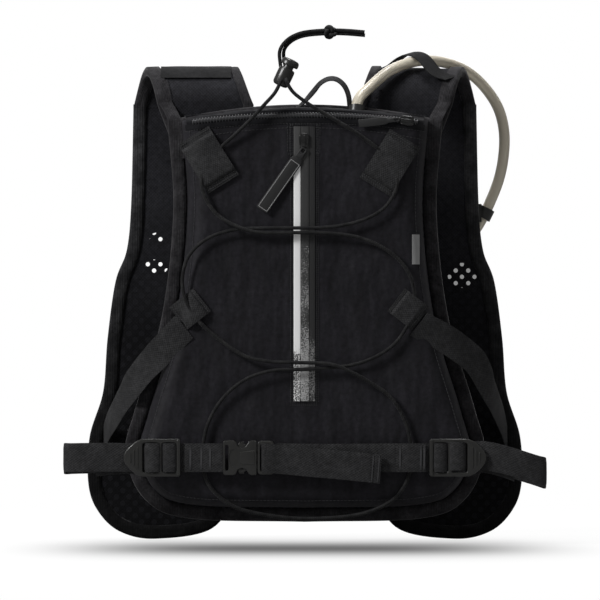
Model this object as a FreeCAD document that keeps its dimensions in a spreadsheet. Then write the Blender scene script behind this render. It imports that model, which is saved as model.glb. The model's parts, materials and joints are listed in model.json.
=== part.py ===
"""Running hydration pack: a vest harness with a laced bag, a drink reservoir and its hose, and a waist belt.

The pack stands upright as it is worn: +Z up, the bag faces -Y, the wearer stands between the back panel and the
two front panels, which lie towards +Y. The origin is the middle of the base, on the level of the lowest hems.
Lengths are millimetres.
"""
import FreeCAD, Part
import math
import os

import Sketcher
from FreeCAD import Placement, Rotation, Vector

# ---------------------------------------------------------------------------------------------------------------
# Driving dimensions: (alias, value, meaning)
# ---------------------------------------------------------------------------------------------------------------
SIZES = [
    # where the seam between the back panel and the bag lies in the row frame
    ("seam_y", -26.4, "Y of the seam plane between back panel and bag"),
    ("fit_gap", 0.4, "clearance between neighbours that only touch"),
    # back panel and bag outline, half widths at their heights
    ("panel_top_half", 119.0, "half width of the back panel at its top corners"),
    ("panel_top_corner", 370.0, "height of the top corners"),
    ("panel_top", 384.0, "height of the top edge at the middle"),
    ("panel_waist_half", 114.0, "half width at the narrowest level"),
    ("panel_waist", 292.0, "height of the narrowest level"),
    ("panel_flank_half", 124.0, "half width where the flanks start to flare"),
    ("panel_flank", 200.0, "height where the flanks start to flare"),
    ("panel_hip_half", 147.0, "half width at the hips"),
    ("panel_hip", 120.0, "height of the hips"),
    ("panel_base_half", 156.0, "largest half width"),
    ("panel_base", 80.0, "height of the largest half width"),
    ("panel_corner_half", 140.0, "half width half way round the bottom corner"),
    ("panel_corner", 41.0, "height half way round the bottom corner"),
    ("panel_foot_half", 102.0, "half width where the bottom edge starts"),
    ("panel_foot", 24.0, "height where the bottom edge starts"),
    ("panel_bottom", 21.0, "height of the bottom edge at the middle"),
    ("panel_thick", 8.0, "thickness of the padded back panel"),
    ("binding_width", 12.0, "width of the tape bound round each edge"),
    ("binding_thick", 1.6, "thickness of the binding tape"),
    ("bag_depth", 34.0, "depth of the bag in front of the seam"),
    ("bag_wall", 1.6, "thickness of the bag's cloth with its lining"),
    ("shell_inset", 11.0, "the foot of the bag's sides inside the edge of the back panel"),
    ("dome_inset", 13.0, "how far the flat of the bag's face stays inside the foot of its sides"),
    # harness
    ("torso_gap", 64.0, "room for the wearer between back and front panels"),
    ("strap_thick", 6.0, "thickness of the harness"),
    ("strap_top", 419.0, "height of the top of the shoulders"),
    ("strap_root_inner", 46.0, "inner edge of the shoulder strap where it leaves the bag"),
    ("strap_crest_inner", 60.0, "inner edge of the strap at the top of the shoulder"),
    ("strap_crest_outer", 140.0, "outer edge of the strap at the top of the shoulder"),
    ("front_inner_half", 60.0, "inner edge of the front panel at the shoulder"),
    ("front_outer_half", 156.0, "outer edge of the front panel at the chest"),
    ("front_hip_half", 176.0, "outer edge of the front panel at the hip"),
    ("front_wing_half", 191.0, "outer edge of the front panel's wing"),
    ("front_edge_half", 50.0, "inner edge of the front panel along the chest"),
    ("pocket_depth", 15.0, "depth of the front pocket"),
    ("pocket_top", 168.0, "height of the front pocket's mouth"),
    ("pocket_wall", 1.5, "thickness of the stretch mesh of the front pocket"),
    # webbing, belt and its hardware
    ("web_width", 25.0, "width of the belt and side webbing"),
    ("web_thick", 1.6, "thickness of the webbing"),
    ("belt_height", 77.0, "height of the belt's middle"),
    ("belt_standoff", 7.6, "how far the back of the belt stands off the bag's face"),
    ("belt_reach", 210.0, "how far the belt's side loops reach from the middle"),
    ("lock_centre", 133.0, "middle of each tension lock from the middle plane"),
    ("lock_length", 50.0, "length of a tension lock"),
    ("lock_height", 33.0, "height of a tension lock"),
    ("lock_thick", 4.0, "thickness of a tension lock's frame"),
    ("lock_bar", 4.0, "width of the bars of a tension lock"),
    ("buckle_left", -71.0, "left end of the side release buckle"),
    ("buckle_height", 30.0, "height of the side release buckle"),
    ("buckle_thick", 8.4, "thickness of the side release buckle"),
    ("buckle_socket", 29.0, "length of the buckle's socket half"),
    ("buckle_frame", 15.0, "length of the plug half's ladder frame"),
    ("tail_end", 64.0, "X of the end of the belt's free tail"),
    # bungee lacing
    ("cord_size", 3.2, "diameter of the shock cord"),
    ("lacing_centre", -5.0, "X of the middle of the lacing"),
    ("upper_loop_reach", 79.0, "upper cord loops from the lacing's middle"),
    ("upper_loop_height", 333.5, "height of the upper cord loops"),
    ("upper_loop_width", 31.0, "width of an upper cord loop"),
    ("upper_loop_length", 50.0, "length of an upper cord loop"),
    ("upper_loop_turn", 32.0, "turn of the upper cord loops, in degrees"),
    ("loop_rise", 4.8, "height of the tunnel under a cord loop"),
    ("side_loop_reach", 95.0, "side strap loops from the lacing's middle"),
    ("side_loop_height", 206.0, "height of the side strap loops"),
    ("side_loop_length", 27.0, "length of the side strap loops"),
    ("side_loop_turn", 52.0, "turn of the side strap loops, in degrees"),
    ("cord_lock_width", 13.5, "diameter of the cord lock"),
    ("cord_lock_length", 17.0, "length of the cord lock's barrel"),
    ("cord_lock_cap", 6.5, "length of the cord lock's button cap"),
    ("cord_lock_travel", 2.5, "travel of the cord lock's button"),
    ("cord_lock_turn", 25.0, "lean of the cord lock, in degrees"),
    ("knot_size", 14.0, "diameter of the knot"),
    # zips
    ("zip_middle", -1.0, "X of the middle of the centre zip"),
    ("zip_top", 366.0, "upper end of the centre zip"),
    ("zip_bottom", 121.0, "lower end of the centre zip"),
    ("zip_tape_width", 21.0, "width of the centre zip's tapes"),
    ("zip_tape_thick", 0.6, "thickness of the zip tapes"),
    ("zip_coil_width", 5.0, "width of the zip coils"),
    ("zip_coil_thick", 1.2, "height of the zip coils"),
    ("slider_length", 12.0, "length of a zip slider"),
    ("slider_width", 8.6, "width of a zip slider"),
    ("slider_height", 2.2, "height of a zip slider above its coil"),
    ("pull_length", 60.0, "length of the centre zip's pull tab"),
    ("pull_width", 11.0, "width of the centre zip's pull tab"),
    ("pull_thick", 1.4, "thickness of the pull tabs"),
    ("pull_turn", 35.0, "lean of the centre pull tab, in degrees"),
    ("top_zip_radius", 800.0, "radius of the top zip's gentle arc"),
    ("top_zip_reach", 99.0, "half length of the top zip"),
    ("top_zip_tape", 13.5, "width of the top zip's tapes"),
    ("top_zip_drop", 9.0, "top zip's middle line below the bag's top edge"),
    # hose and reservoir
    ("hose_size", 9.6, "outside diameter of the drink hose"),
    ("hose_bore", 6.4, "inside diameter of the drink hose"),
    ("port_x", 41.0, "X of the hose port in the bag's top"),
    ("reservoir_half", 82.0, "half width of the reservoir"),
    ("reservoir_top", 345.0, "top of the reservoir"),
    ("reservoir_bottom", 52.0, "bottom of the reservoir"),
    ("reservoir_thick", 14.0, "thickness of the reservoir"),
    ("cap_size", 62.0, "diameter of the reservoir's screw cap"),
    ("cap_height", 6.0, "height of the reservoir's screw cap"),
    ("valve_size", 15.0, "diameter of the bite valve's body"),
    ("valve_length", 26.0, "length of the bite valve's body"),
    # chest
    ("sternum_height", 300.0, "height of the sternum strap"),
    ("sternum_width", 20.0, "width of the sternum webbing"),
    ("rail_half", 68.0, "sternum rails from the middle plane"),
    ("rail_size", 4.0, "diameter of the sternum rail's cord"),
    ("rail_length", 96.0, "length of the sternum rails"),
    ("hang_loop_x", 19.0, "middle of the hang loop"),
    ("hang_loop_half", 18.2, "half span of the hang loop"),
    ("hang_loop_top", 409.0, "top of the hang loop"),
    ("hang_tape_width", 8.0, "width of the hang loop's tape"),
    ("hang_tape_thick", 2.2, "thickness of the hang loop's tape"),
]

doc = FreeCAD.newDocument("hydration_pack")
sheet = doc.addObject("Spreadsheet::Sheet", "sizes")
for row, (alias, value, meaning) in enumerate(SIZES, start=1):
    sheet.set(f"A{row}", str(value))
    sheet.setAlias(f"A{row}", alias)
    sheet.set(f"B{row}", meaning)
doc.recompute()


def size(alias):
    """The value of a driving dimension, as a plain number."""
    return float(getattr(sheet, alias))


PARTS = []


def keep(item, label):
    """Names a finished sub-part, so that it is checked and written."""
    item.Label = label
    PARTS.append(item)
    return item


def bind(item, **cells):
    """Binds properties of a document object to expressions over the sheet."""
    for name, expression in cells.items():
        item.setExpression(name.replace("__", "."), expression)
    return item


def cell(text):
    """An expression whose words in braces are sheet cells: cell('{web_width} / 2')."""
    return text.replace("{", "sizes.").replace("}", "")


def feature(label, shape):
    """A sub-part whose shape is made with Part's own functions."""
    item = doc.addObject("Part::Feature", label)
    item.Shape = shape
    return keep(item, label)


# ---------------------------------------------------------------------------------------------------------------
# Shared levels, worked out from the sheet
# ---------------------------------------------------------------------------------------------------------------
SEAM = size("seam_y")
BAG_FACE = SEAM - size("bag_depth")
PANEL_BACK = SEAM + size("panel_thick")
FRONT_NEAR = PANEL_BACK + size("torso_gap")
FRONT_FAR = FRONT_NEAR + size("strap_thick")
STRAP_NEAR = PANEL_BACK + size("binding_thick") + size("fit_gap")
STRAP_OUTER_R = (FRONT_FAR - STRAP_NEAR) / 2
STRAP_INNER_R = STRAP_OUTER_R - size("strap_thick")
BEND_Y = STRAP_NEAR + STRAP_OUTER_R
BEND_Z = size("strap_top") - STRAP_OUTER_R
BELT_BACK = BAG_FACE - size("belt_standoff")
BELT_FRONT = BELT_BACK - size("web_thick")
ZIP_X = size("zip_middle")
LACING_X = size("lacing_centre")
CORD_R = size("cord_size") / 2
GAP = size("fit_gap")
SIDES = (("left", -1), ("right", 1))


# ---------------------------------------------------------------------------------------------------------------
# Shapes that several sub-parts use
# ---------------------------------------------------------------------------------------------------------------
def spline(points, tangents=None):
    """A B-spline edge through the points."""
    curve = Part.BSplineCurve()
    if tangents:
        curve.interpolate(Points=points, InitialTangent=tangents[0], FinalTangent=tangents[1])
    else:
        curve.interpolate(Points=points)
    return curve.toShape()


def moved_in(points, inset):
    """Points of an outline in (x, z), listed from a top corner downwards and round, moved inwards."""
    result = []
    for i, (x, z) in enumerate(points):
        before = points[max(i - 1, 0)]
        after = points[min(i + 1, len(points) - 1)]
        dx, dz = after[0] - before[0], after[1] - before[1]
        run = math.hypot(dx, dz)
        result.append((x + dz / run * inset, z - dx / run * inset))
    return result


PANEL_SIDE = [
    (size("panel_top_half"), size("panel_top_corner")),
    (size("panel_waist_half"), size("panel_waist")),
    (size("panel_flank_half"), size("panel_flank")),
    (size("panel_hip_half"), size("panel_hip")),
    (size("panel_base_half"), size("panel_base")),
    (size("panel_corner_half"), size("panel_corner")),
    (size("panel_foot_half"), size("panel_foot")),
    (0.0, size("panel_bottom")),
]


def panel_outline(y, inset=0.0, top_inset=None):
    """The closed outline of the back panel or bag at depth y, moved in by inset at its sides and bottom."""
    drop = inset if top_inset is None else top_inset
    side = moved_in(PANEL_SIDE, inset)
    side[0] = (PANEL_SIDE[0][0] - inset, PANEL_SIDE[0][1] - drop)
    side[-1] = (0.0, PANEL_SIDE[-1][1] + inset)
    right = [Vector(x, y, z) for x, z in side]
    left = [Vector(-x, y, z) for x, z in reversed(side)]
    top = Part.Arc(left[-1], Vector(0, y, size("panel_top") - drop), right[0]).toShape()
    down = spline(right, (Vector(0, 0, -1), Vector(-1, 0, 0)))
    up = spline(left, (Vector(-1, 0, 0), Vector(0, 0, 1)))
    return Part.Wire([top, down, up])


def plate(wire, thick):
    """A flat outline made thick along +Y."""
    return Part.Face(wire).extrude(Vector(0, thick, 0))


def bound_edge(outline, low, thick):
    """A tape folded round the edge of a plate that starts at depth low: outline(inset, y) is its outline."""
    tape, lap = size("binding_thick"), size("binding_width") - size("binding_thick")
    whole = plate(outline(-tape, low - tape), thick + 2 * tape)
    whole = whole.cut(plate(outline(0, low), thick))
    return whole.cut(plate(outline(lap, low - 2 * tape), thick + 4 * tape))


def flat_face(*corners):
    """A plane face between its corners."""
    return Part.Face(Part.makePolygon(list(corners) + [corners[0]]))


def ribbon(stations, width, thick):
    """Webbing through stations of (centre, direction of its width, direction of its thickness)."""
    rings = []
    for centre, across, normal in stations:
        way = Vector(across).normalize()
        a = way * (width / 2)
        n = (normal - way * way.dot(normal)).normalize() * (thick / 2)
        rings.append([centre + a + n, centre - a + n, centre - a - n, centre + a - n])
    faces = [flat_face(*rings[0]), flat_face(*rings[-1])]
    for low, high in zip(rings, rings[1:]):
        for i in range(4):
            j = (i + 1) % 4
            faces.append(flat_face(low[i], low[j], high[j]))
            faces.append(flat_face(low[i], high[j], high[i]))
    skin = Part.makeShell(faces)
    skin.sewShape()
    return Part.makeSolid(skin)


def rounded_path(points):
    """Straight runs joined by tangent arcs, each arc as large as its two runs allow."""
    edges, radii, start = [], [], points[0]
    for before, corner, after in zip(points, points[1:], points[2:]):
        a, b = before - corner, after - corner
        turn = math.pi - a.getAngle(b)
        reach = 0.45 * min(a.Length, b.Length)
        radii.append(reach / math.tan(turn / 2))
        a.normalize()
        b.normalize()
        first, last = corner + a * reach, corner + b * reach
        to_centre = (a + b).normalize()
        half = radii[-1] / math.cos(turn / 2) - radii[-1]
        middle = corner + to_centre * half
        edges.append(Part.LineSegment(start, first).toShape())
        edges.append(Part.Arc(first, middle, last).toShape())
        start = last
    edges.append(Part.LineSegment(start, points[-1]).toShape())
    return Part.Wire(edges), radii


def tube(label, points, diameter, bore=0.0):
    """A cord or hose along a route; prints its length, tightest arc and how true its volume is."""
    path, radii = rounded_path(points)
    start = points[0]
    along = points[1] - points[0]

    def swept(across):
        ring = Part.Wire(Part.makeCircle(across / 2, start, along))
        return path.makePipeShell([ring], True, True)

    solid = swept(diameter)
    section = math.pi * diameter ** 2 / 4
    share = solid.Volume / (section * path.Length)
    print(f"{label}: {path.Length:.0f} mm long, tightest arc {min(radii):.1f} mm, volume share {share:.4f}")
    if bore:
        solid = solid.cut(swept(bore))
    return solid


def rounded_box(low, high, radius, edges_along=None):
    """A box between two corners with rounded edges: those along one axis, or all."""
    box = Part.makeBox(high.x - low.x, high.y - low.y, high.z - low.z, low)
    chosen = box.Edges
    if edges_along:
        chosen = [e for e in box.Edges if abs(e.tangentAt(e.FirstParameter).dot(edges_along)) > 0.9]
    return box.makeFillet(radius, chosen)


def mirrored(shape):
    """The same shape on the other side of the middle plane."""
    return shape.mirror(Vector(0, 0, 0), Vector(1, 0, 0))


# ---------------------------------------------------------------------------------------------------------------
# PartDesign helpers
# ---------------------------------------------------------------------------------------------------------------
def new_body(label):
    """An empty PartDesign body that will be kept as a sub-part."""
    return keep(doc.addObject("PartDesign::Body", label), label)


def sketch_on(body, role, name):
    """A sketch on one of the body's own origin planes."""
    sketch = body.newObject("Sketcher::SketchObject", name)
    plane = [f for f in body.Origin.OriginFeatures if f.Role == role][0]
    sketch.AttachmentSupport = [(plane, "")]
    sketch.MapMode = "FlatFace"
    return sketch


def fix(sketch, kind, *ends, expression):
    """Adds a dimension to a sketch and binds it to an expression over the sheet."""
    number = sketch.addConstraint(Sketcher.Constraint(kind, *ends, 1.0))
    sketch.setExpression(f"Constraints[{number}]", expression)


def rectangle(sketch, left, bottom, width, height):
    """A rectangle whose place and size are expressions over the sheet."""
    first = sketch.GeometryCount
    corners = [Vector(1, 1, 0), Vector(3, 1, 0), Vector(3, 2, 0), Vector(1, 2, 0)]
    for a, b in zip(corners, corners[1:] + corners[:1]):
        sketch.addGeometry(Part.LineSegment(a, b))
    for i in range(4):
        sketch.addConstraint(Sketcher.Constraint("Coincident", first + i, 2, first + (i + 1) % 4, 1))
    for i, kind in enumerate(("Horizontal", "Vertical", "Horizontal", "Vertical")):
        sketch.addConstraint(Sketcher.Constraint(kind, first + i))
    fix(sketch, "DistanceX", first, 1, first, 2, expression=cell(width))
    fix(sketch, "DistanceY", first + 1, 1, first + 1, 2, expression=cell(height))
    fix(sketch, "DistanceX", -1, 1, first, 1, expression=cell(left))
    fix(sketch, "DistanceY", -1, 1, first, 1, expression=cell(bottom))


def circle(sketch, x, y, radius):
    """A circle whose place and size are expressions over the sheet."""
    number = sketch.addGeometry(Part.Circle(Vector(1, 1, 0), Vector(0, 0, 1), 2))
    fix(sketch, "Radius", number, expression=cell(radius))
    fix(sketch, "DistanceX", -1, 1, number, 3, expression=cell(x))
    fix(sketch, "DistanceY", -1, 1, number, 3, expression=cell(y))


def pad(body, sketch, length, name, reverse=False):
    """A pad of a sketch, its length an expression over the sheet."""
    made = body.newObject("PartDesign::Pad", name)
    made.Profile = sketch
    made.Reversed = reverse
    bind(made, Length=cell(length))
    return made


def pocket(body, sketch, name):
    """A pocket through everything, both ways from its sketch."""
    made = body.newObject("PartDesign::Pocket", name)
    made.Profile = sketch
    made.Type = "ThroughAll"
    made.Midplane = True
    return made


def part_box(name, x, y, z, length, width, height):
    """A box whose corner and sizes are expressions over the sheet."""
    item = doc.addObject("Part::Box", name)
    bind(item, Length=cell(length), Width=cell(width), Height=cell(height))
    return bind(item, Placement__Base__x=cell(x), Placement__Base__y=cell(y), Placement__Base__z=cell(z))


def part_cylinder(name, x, y, z, radius, height, towards="+z"):
    """A cylinder along Z or Y whose place and sizes are expressions over the sheet."""
    item = doc.addObject("Part::Cylinder", name)
    turns = {"+z": 0, "-y": 90, "+y": -90}
    item.Placement = Placement(Vector(), Rotation(Vector(1, 0, 0), turns[towards]))
    bind(item, Radius=cell(radius), Height=cell(height))
    return bind(item, Placement__Base__x=cell(x), Placement__Base__y=cell(y), Placement__Base__z=cell(z))


def part_fuse(name, shapes):
    """Several document objects as one."""
    item = doc.addObject("Part::MultiFuse", name)
    item.Shapes = shapes
    return item


def part_cut(name, base, tool):
    """One document object less another."""
    item = doc.addObject("Part::Cut", name)
    item.Base = base
    item.Tool = tool
    return item


SEAM_AT = "{seam_y}"
FACE_AT = "({seam_y} - {bag_depth})"
BACK_AT = "({seam_y} + {panel_thick})"
FRONT_AT = "({seam_y} + {panel_thick} + {torso_gap})"
FAR_AT = "({seam_y} + {panel_thick} + {torso_gap} + {strap_thick})"
BELT_AT = "({seam_y} - {bag_depth} - {belt_standoff} - {web_thick} / 2)"


# ---------------------------------------------------------------------------------------------------------------
# Back panel and bag
# ---------------------------------------------------------------------------------------------------------------
def make_back_panel():
    """The padded panel against the wearer's back, with its edge binding."""
    feature("back_panel", plate(panel_outline(SEAM), size("panel_thick")))
    binding = bound_edge(lambda inset, y: panel_outline(y, inset), SEAM, size("panel_thick"))
    feature("panel_binding", binding.cut(dome(0.3)))


def dome(extra=0.0, depth=None):
    """The bag as a full form: steep sides, a rounded shoulder and a flat face; extra grows it all round."""
    depth = size("bag_depth") if depth is None else depth
    foot, rise = size("shell_inset") - extra, size("dome_inset")
    levels = ((0.0, 0.0, 0.0), (0.6, 0.06, 0.4), (0.86, 0.32, 1.0), (1.0, 1.0, 2.2))
    wires = [
        panel_outline(SEAM - share * depth, foot + inward * rise, top - extra + 1.6)
        for share, inward, top in levels
    ]
    return Part.makeLoft(wires, True, False)


def hose_hole(across):
    """The straight stretch where the hose goes through the bag's top."""
    low, high = PORT_ENDS
    return Part.makeCylinder(across / 2, (high - low).Length, low, high - low)


def make_bag():
    """The bag: its shell, with a round opening for the hose, and the divider inside."""
    wall = size("bag_wall")
    hollow = dome(-wall, size("bag_depth") - wall)
    shell = dome().cut(hollow).cut(hose_hole(size("hose_size") + 5.2))
    feature("main_shell", shell)
    depth = size("reservoir_thick") + size("cap_height") + 8.2
    divider = plate(panel_outline(SEAM - depth, size("shell_inset") + size("dome_inset"), 20.0), 0.8)
    feature("compartment_divider", divider)


# ---------------------------------------------------------------------------------------------------------------
# Reservoir and hose
# ---------------------------------------------------------------------------------------------------------------
RESERVOIR_BACK = SEAM - 2.0
RESERVOIR_FRONT = RESERVOIR_BACK - size("reservoir_thick")
HOSE_IN_Y = RESERVOIR_FRONT - size("hose_size") / 2 - GAP
HOSE_X = size("port_x")
ARC = STRAP_OUTER_R + size("hose_size")
HOSE = [
    Vector(HOSE_X + 3, HOSE_IN_Y, 92),
    Vector(HOSE_X + 4, HOSE_IN_Y, 140),
    Vector(HOSE_X + 7, HOSE_IN_Y, 198),
    Vector(HOSE_X + 4, HOSE_IN_Y, 256),
    Vector(HOSE_X + 2, HOSE_IN_Y, 308),
    Vector(HOSE_X + 2, HOSE_IN_Y, 344),
    Vector(HOSE_X + 3, SEAM - 17, 366),
    Vector(HOSE_X + 5, SEAM - 9, 388),
    Vector(HOSE_X + 16, BEND_Y - 42, BEND_Z + 15.5),
    Vector(HOSE_X + 30, BEND_Y - 33, BEND_Z + 28),
    Vector(HOSE_X + 43, BEND_Y - 23, BEND_Z + 35),
    Vector(HOSE_X + 57, BEND_Y - 11, BEND_Z + 39.5),
    Vector(HOSE_X + 72, BEND_Y + 1, BEND_Z + 40.5),
    Vector(HOSE_X + 88, BEND_Y + 13, BEND_Z + 38),
    Vector(HOSE_X + 104, BEND_Y + 27, BEND_Z + 31.5),
    Vector(HOSE_X + 119, BEND_Y + 38, BEND_Z + 18.5),
    Vector(HOSE_X + 131, FRONT_FAR + 10, 386),
    Vector(HOSE_X + 136.5, FRONT_FAR + 13, 366),
    Vector(HOSE_X + 136.5, FRONT_FAR + 14, 345),
    Vector(HOSE_X + 132.5, FRONT_FAR + 14, 323),
    Vector(HOSE_X + 124.5, FRONT_FAR + 14, 302),
    Vector(HOSE_X + 114, FRONT_FAR + 13, 281),
    Vector(HOSE_X + 99, FRONT_FAR + 11, 262),
    Vector(HOSE_X + 77, FRONT_FAR + 10, 247),
    Vector(HOSE_X + 54, FRONT_FAR + 10, 239),
]
PORT_ENDS = HOSE[6:8]


def cylinder_on(start, along, radius, length, back=0.0):
    """A cylinder from a point along a direction, starting a little further back where asked."""
    way = Vector(along).normalize()
    return Part.makeCylinder(radius, length, start - way * back, way)


def make_reservoir():
    """The reservoir in the bag, with its filling port, screw cap and hose outlet."""
    half, top, bottom = size("reservoir_half"), size("reservoir_top"), size("reservoir_bottom")
    film = 0.8
    outer = rounded_box(Vector(-half, RESERVOIR_FRONT, bottom), Vector(half, RESERVOIR_BACK, top), 6.0)
    inner = rounded_box(
        Vector(-half + film, RESERVOIR_FRONT + film, bottom + film),
        Vector(half - film, RESERVOIR_BACK - film, top - film),
        5.2,
    )
    feature("reservoir_bag", outer.cut(inner))
    front = "({seam_y} - 2 - {reservoir_thick})"
    neck = "({cap_size} / 2 - 5)"
    middle = ("{lacing_centre} - 8", front, "{reservoir_top} - 58")
    flange = part_cylinder("port_flange", *middle, "{cap_size} / 2 + 6", "1.8", "-y")
    collar = part_cylinder("port_neck", *middle, neck, "{cap_height} + 0.6", "-y")
    mouth = part_cylinder("port_mouth", *middle, neck + " - 2.5", "{cap_height} + 3", "-y")
    keep(part_cut("port_open", part_fuse("port_solid", [flange, collar]), mouth), "fill_port")
    near = ("{lacing_centre} - 8", front + " - 1.8 - {fit_gap}", "{reservoir_top} - 58")
    cap = part_cylinder("cap_blank", *near, "{cap_size} / 2", "{cap_height}", "-y")
    inside = part_cylinder("cap_inside", *near, neck + " + {fit_gap}", "{cap_height} - 1", "-y")
    wing = part_box(
        "cap_wing", "{lacing_centre} - 8 - {cap_size} * 0.36", front + " - 1.8 - {fit_gap} - {cap_height} - 1.6",
        "{reservoir_top} - 60", "{cap_size} * 0.72", "2.2", "4",
    )
    keep(part_fuse("cap_winged", [part_cut("cap_cup", cap, inside), wing]), "fill_cap")
    start, along = HOSE[0], HOSE[1] - HOSE[0]
    barb = cylinder_on(start, along, size("hose_size") / 2 + 0.8, 8.0, 8.0)
    boss = Part.makeCylinder(11.0, 2.0, Vector(start.x, RESERVOIR_FRONT, start.z - 12), Vector(0, -1, 0))
    stem = Part.makeCylinder(5.4, RESERVOIR_FRONT - HOSE_IN_Y + 2, Vector(start.x, RESERVOIR_FRONT, start.z - 12),
                             Vector(0, -1, 0))
    ball = Part.makeSphere(5.4, Vector(start.x, HOSE_IN_Y, start.z - 12))
    lift = Part.makeCylinder(5.4, 6.0, Vector(start.x, HOSE_IN_Y, start.z - 12), Vector(0, 0, 1))
    limit = Part.makeBox(40, 12.0, 60, Vector(start.x - 20, RESERVOIR_FRONT - 12.0, start.z - 40))
    feature("outlet_elbow", boss.fuse([stem, ball, lift, barb]).common(limit))


def make_hose():
    """The drink hose with the port, clip and bite valve that it runs through and ends in."""
    outer = size("hose_size")
    feature("hose", tube("hose", HOSE, outer, size("hose_bore")))
    low, high = PORT_ENDS
    way = Vector(high - low).normalize()
    middle = low + (high - low) * 0.62
    ring = cylinder_on(middle, way, outer / 2 + 2.4, 7.0, 3.5).cut(cylinder_on(middle, way, outer / 2 + 0.9, 9.0, 4.5))
    feature("hose_port", ring)
    end, before = HOSE[-1], HOSE[-2]
    way = Vector(end - before).normalize()
    body_r, length = size("valve_size") / 2, size("valve_length")
    body = cylinder_on(end, way, body_r, length)
    neck = cylinder_on(end + way * length, way, body_r - 2.6, 6.0)
    feature("valve_body", body.fuse(neck))
    lip_start = end + way * (length + GAP)
    lip = Part.makeCone(body_r - 0.6, body_r + 1.4, 9.0, lip_start, way)
    tip = Part.makeCone(body_r + 1.4, body_r - 2.0, 15.0, lip_start + way * 9.0, way)
    hollow = cylinder_on(lip_start, way, body_r - 2.2, 7.5, 0.5)
    feature("bite_valve", lip.fuse(tip).cut(hollow))
    pivot = end + way * (length * 0.55)
    y_far = pivot.y + body_r + GAP
    hub = Part.makeCylinder(4.2, 3.0, Vector(pivot.x, y_far, pivot.z), Vector(0, 1, 0))
    arm = rounded_box(Vector(pivot.x - 2.2, y_far, pivot.z), Vector(pivot.x + 2.2, y_far + 3.0, pivot.z + 15), 1.0,
                      Vector(0, 1, 0))
    feature("valve_lever", hub.fuse(arm))
    a, b = HOSE[-5], HOSE[-4]
    way, middle = Vector(b - a).normalize(), (a + b) * 0.5
    loop = cylinder_on(middle, way, outer / 2 + 2.6, 10.0, 5.0)
    edge = FRONT_FAR + size("binding_thick")
    foot = Part.makeBox(17, middle.y - edge, 16, Vector(middle.x - 20, edge, middle.z - 8))
    clip = loop.fuse(foot).cut(cylinder_on(middle, way, outer / 2 + 0.7, 30.0, 15.0))
    feature("hose_clip", clip)


# ---------------------------------------------------------------------------------------------------------------
# Harness
# ---------------------------------------------------------------------------------------------------------------
FRONT_SIDE = [
    (size("front_outer_half") - 5, BEND_Z),
    (size("front_outer_half") - 3, 300),
    (size("front_outer_half") + 1, 258),
    (size("front_outer_half") + 11, 230),
    (size("front_hip_half") - 2, 180),
    (size("front_hip_half") + 2, 132),
    (size("front_wing_half") - 1, 92),
    (size("front_wing_half"), 50),
    (size("front_wing_half") - 9, 26),
    (163, 9),
    (132, size("binding_thick") + 1.6),
    (82, 13),
    (size("front_edge_half") + 14, 52),
    (size("front_edge_half"), 130),
    (size("front_edge_half") - 4, 300),
    (size("front_inner_half"), BEND_Z),
]


def front_outline(inset, y):
    """The outline of the right front panel at depth y, moved in by inset."""
    side = moved_in(FRONT_SIDE, inset)
    side[0] = (FRONT_SIDE[0][0] - inset, BEND_Z)
    side[-1] = (FRONT_SIDE[-1][0] + inset, BEND_Z)
    points = [Vector(x, y, z) for x, z in side]
    return Part.Wire([spline(points), Part.LineSegment(points[-1], points[0]).toShape()])


def yoke():
    """The right shoulder: a leg on the back panel and the fold over the shoulder."""
    root, crest = size("strap_root_inner"), size("strap_crest_inner")
    thick = size("strap_thick")
    outer_root, outer_end = 128.0, size("front_outer_half") - 4
    leg = Part.makePolygon([
        Vector(root, STRAP_NEAR, BEND_Z),
        Vector(outer_root, STRAP_NEAR, BEND_Z),
        Vector(123, STRAP_NEAR, 356),
        Vector(120, STRAP_NEAR, 329),
        Vector(119, STRAP_NEAR, 301),
        Vector(94, STRAP_NEAR, 301),
        Vector(58, STRAP_NEAR, 345),
        Vector(root, STRAP_NEAR, BEND_Z),
    ])
    outer_edge = spline([
        Vector(outer_root, STRAP_NEAR, 0),
        Vector(size("strap_crest_outer"), BEND_Y, 0),
        Vector(outer_end, FRONT_FAR, 0),
    ])
    inner_edge = spline([
        Vector(size("front_inner_half"), FRONT_FAR, 0),
        Vector(crest, BEND_Y, 0),
        Vector(root, STRAP_NEAR, 0),
    ])
    front_edge = Part.LineSegment(Vector(outer_end, FRONT_FAR, 0), Vector(size("front_inner_half"), FRONT_FAR, 0))
    back_edge = Part.LineSegment(Vector(root, STRAP_NEAR, 0), Vector(outer_root, STRAP_NEAR, 0))
    plan = Part.Wire([outer_edge, front_edge.toShape(), inner_edge, back_edge.toShape()])
    column = Part.Face(plan).extrude(Vector(0, 0, 2 * BEND_Z))
    reach = 2 * outer_end
    fold = Part.makeCylinder(STRAP_OUTER_R, reach, Vector(0, BEND_Y, BEND_Z), Vector(1, 0, 0))
    fold = fold.cut(Part.makeCylinder(STRAP_INNER_R, reach, Vector(0, BEND_Y, BEND_Z), Vector(1, 0, 0)))
    upper = Part.makeBox(reach, 4 * STRAP_OUTER_R, 2 * STRAP_OUTER_R, Vector(0, BEND_Y - 2 * STRAP_OUTER_R, BEND_Z))
    return plate(leg, thick).fuse(fold.common(upper).common(column)).removeSplitter()


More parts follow.
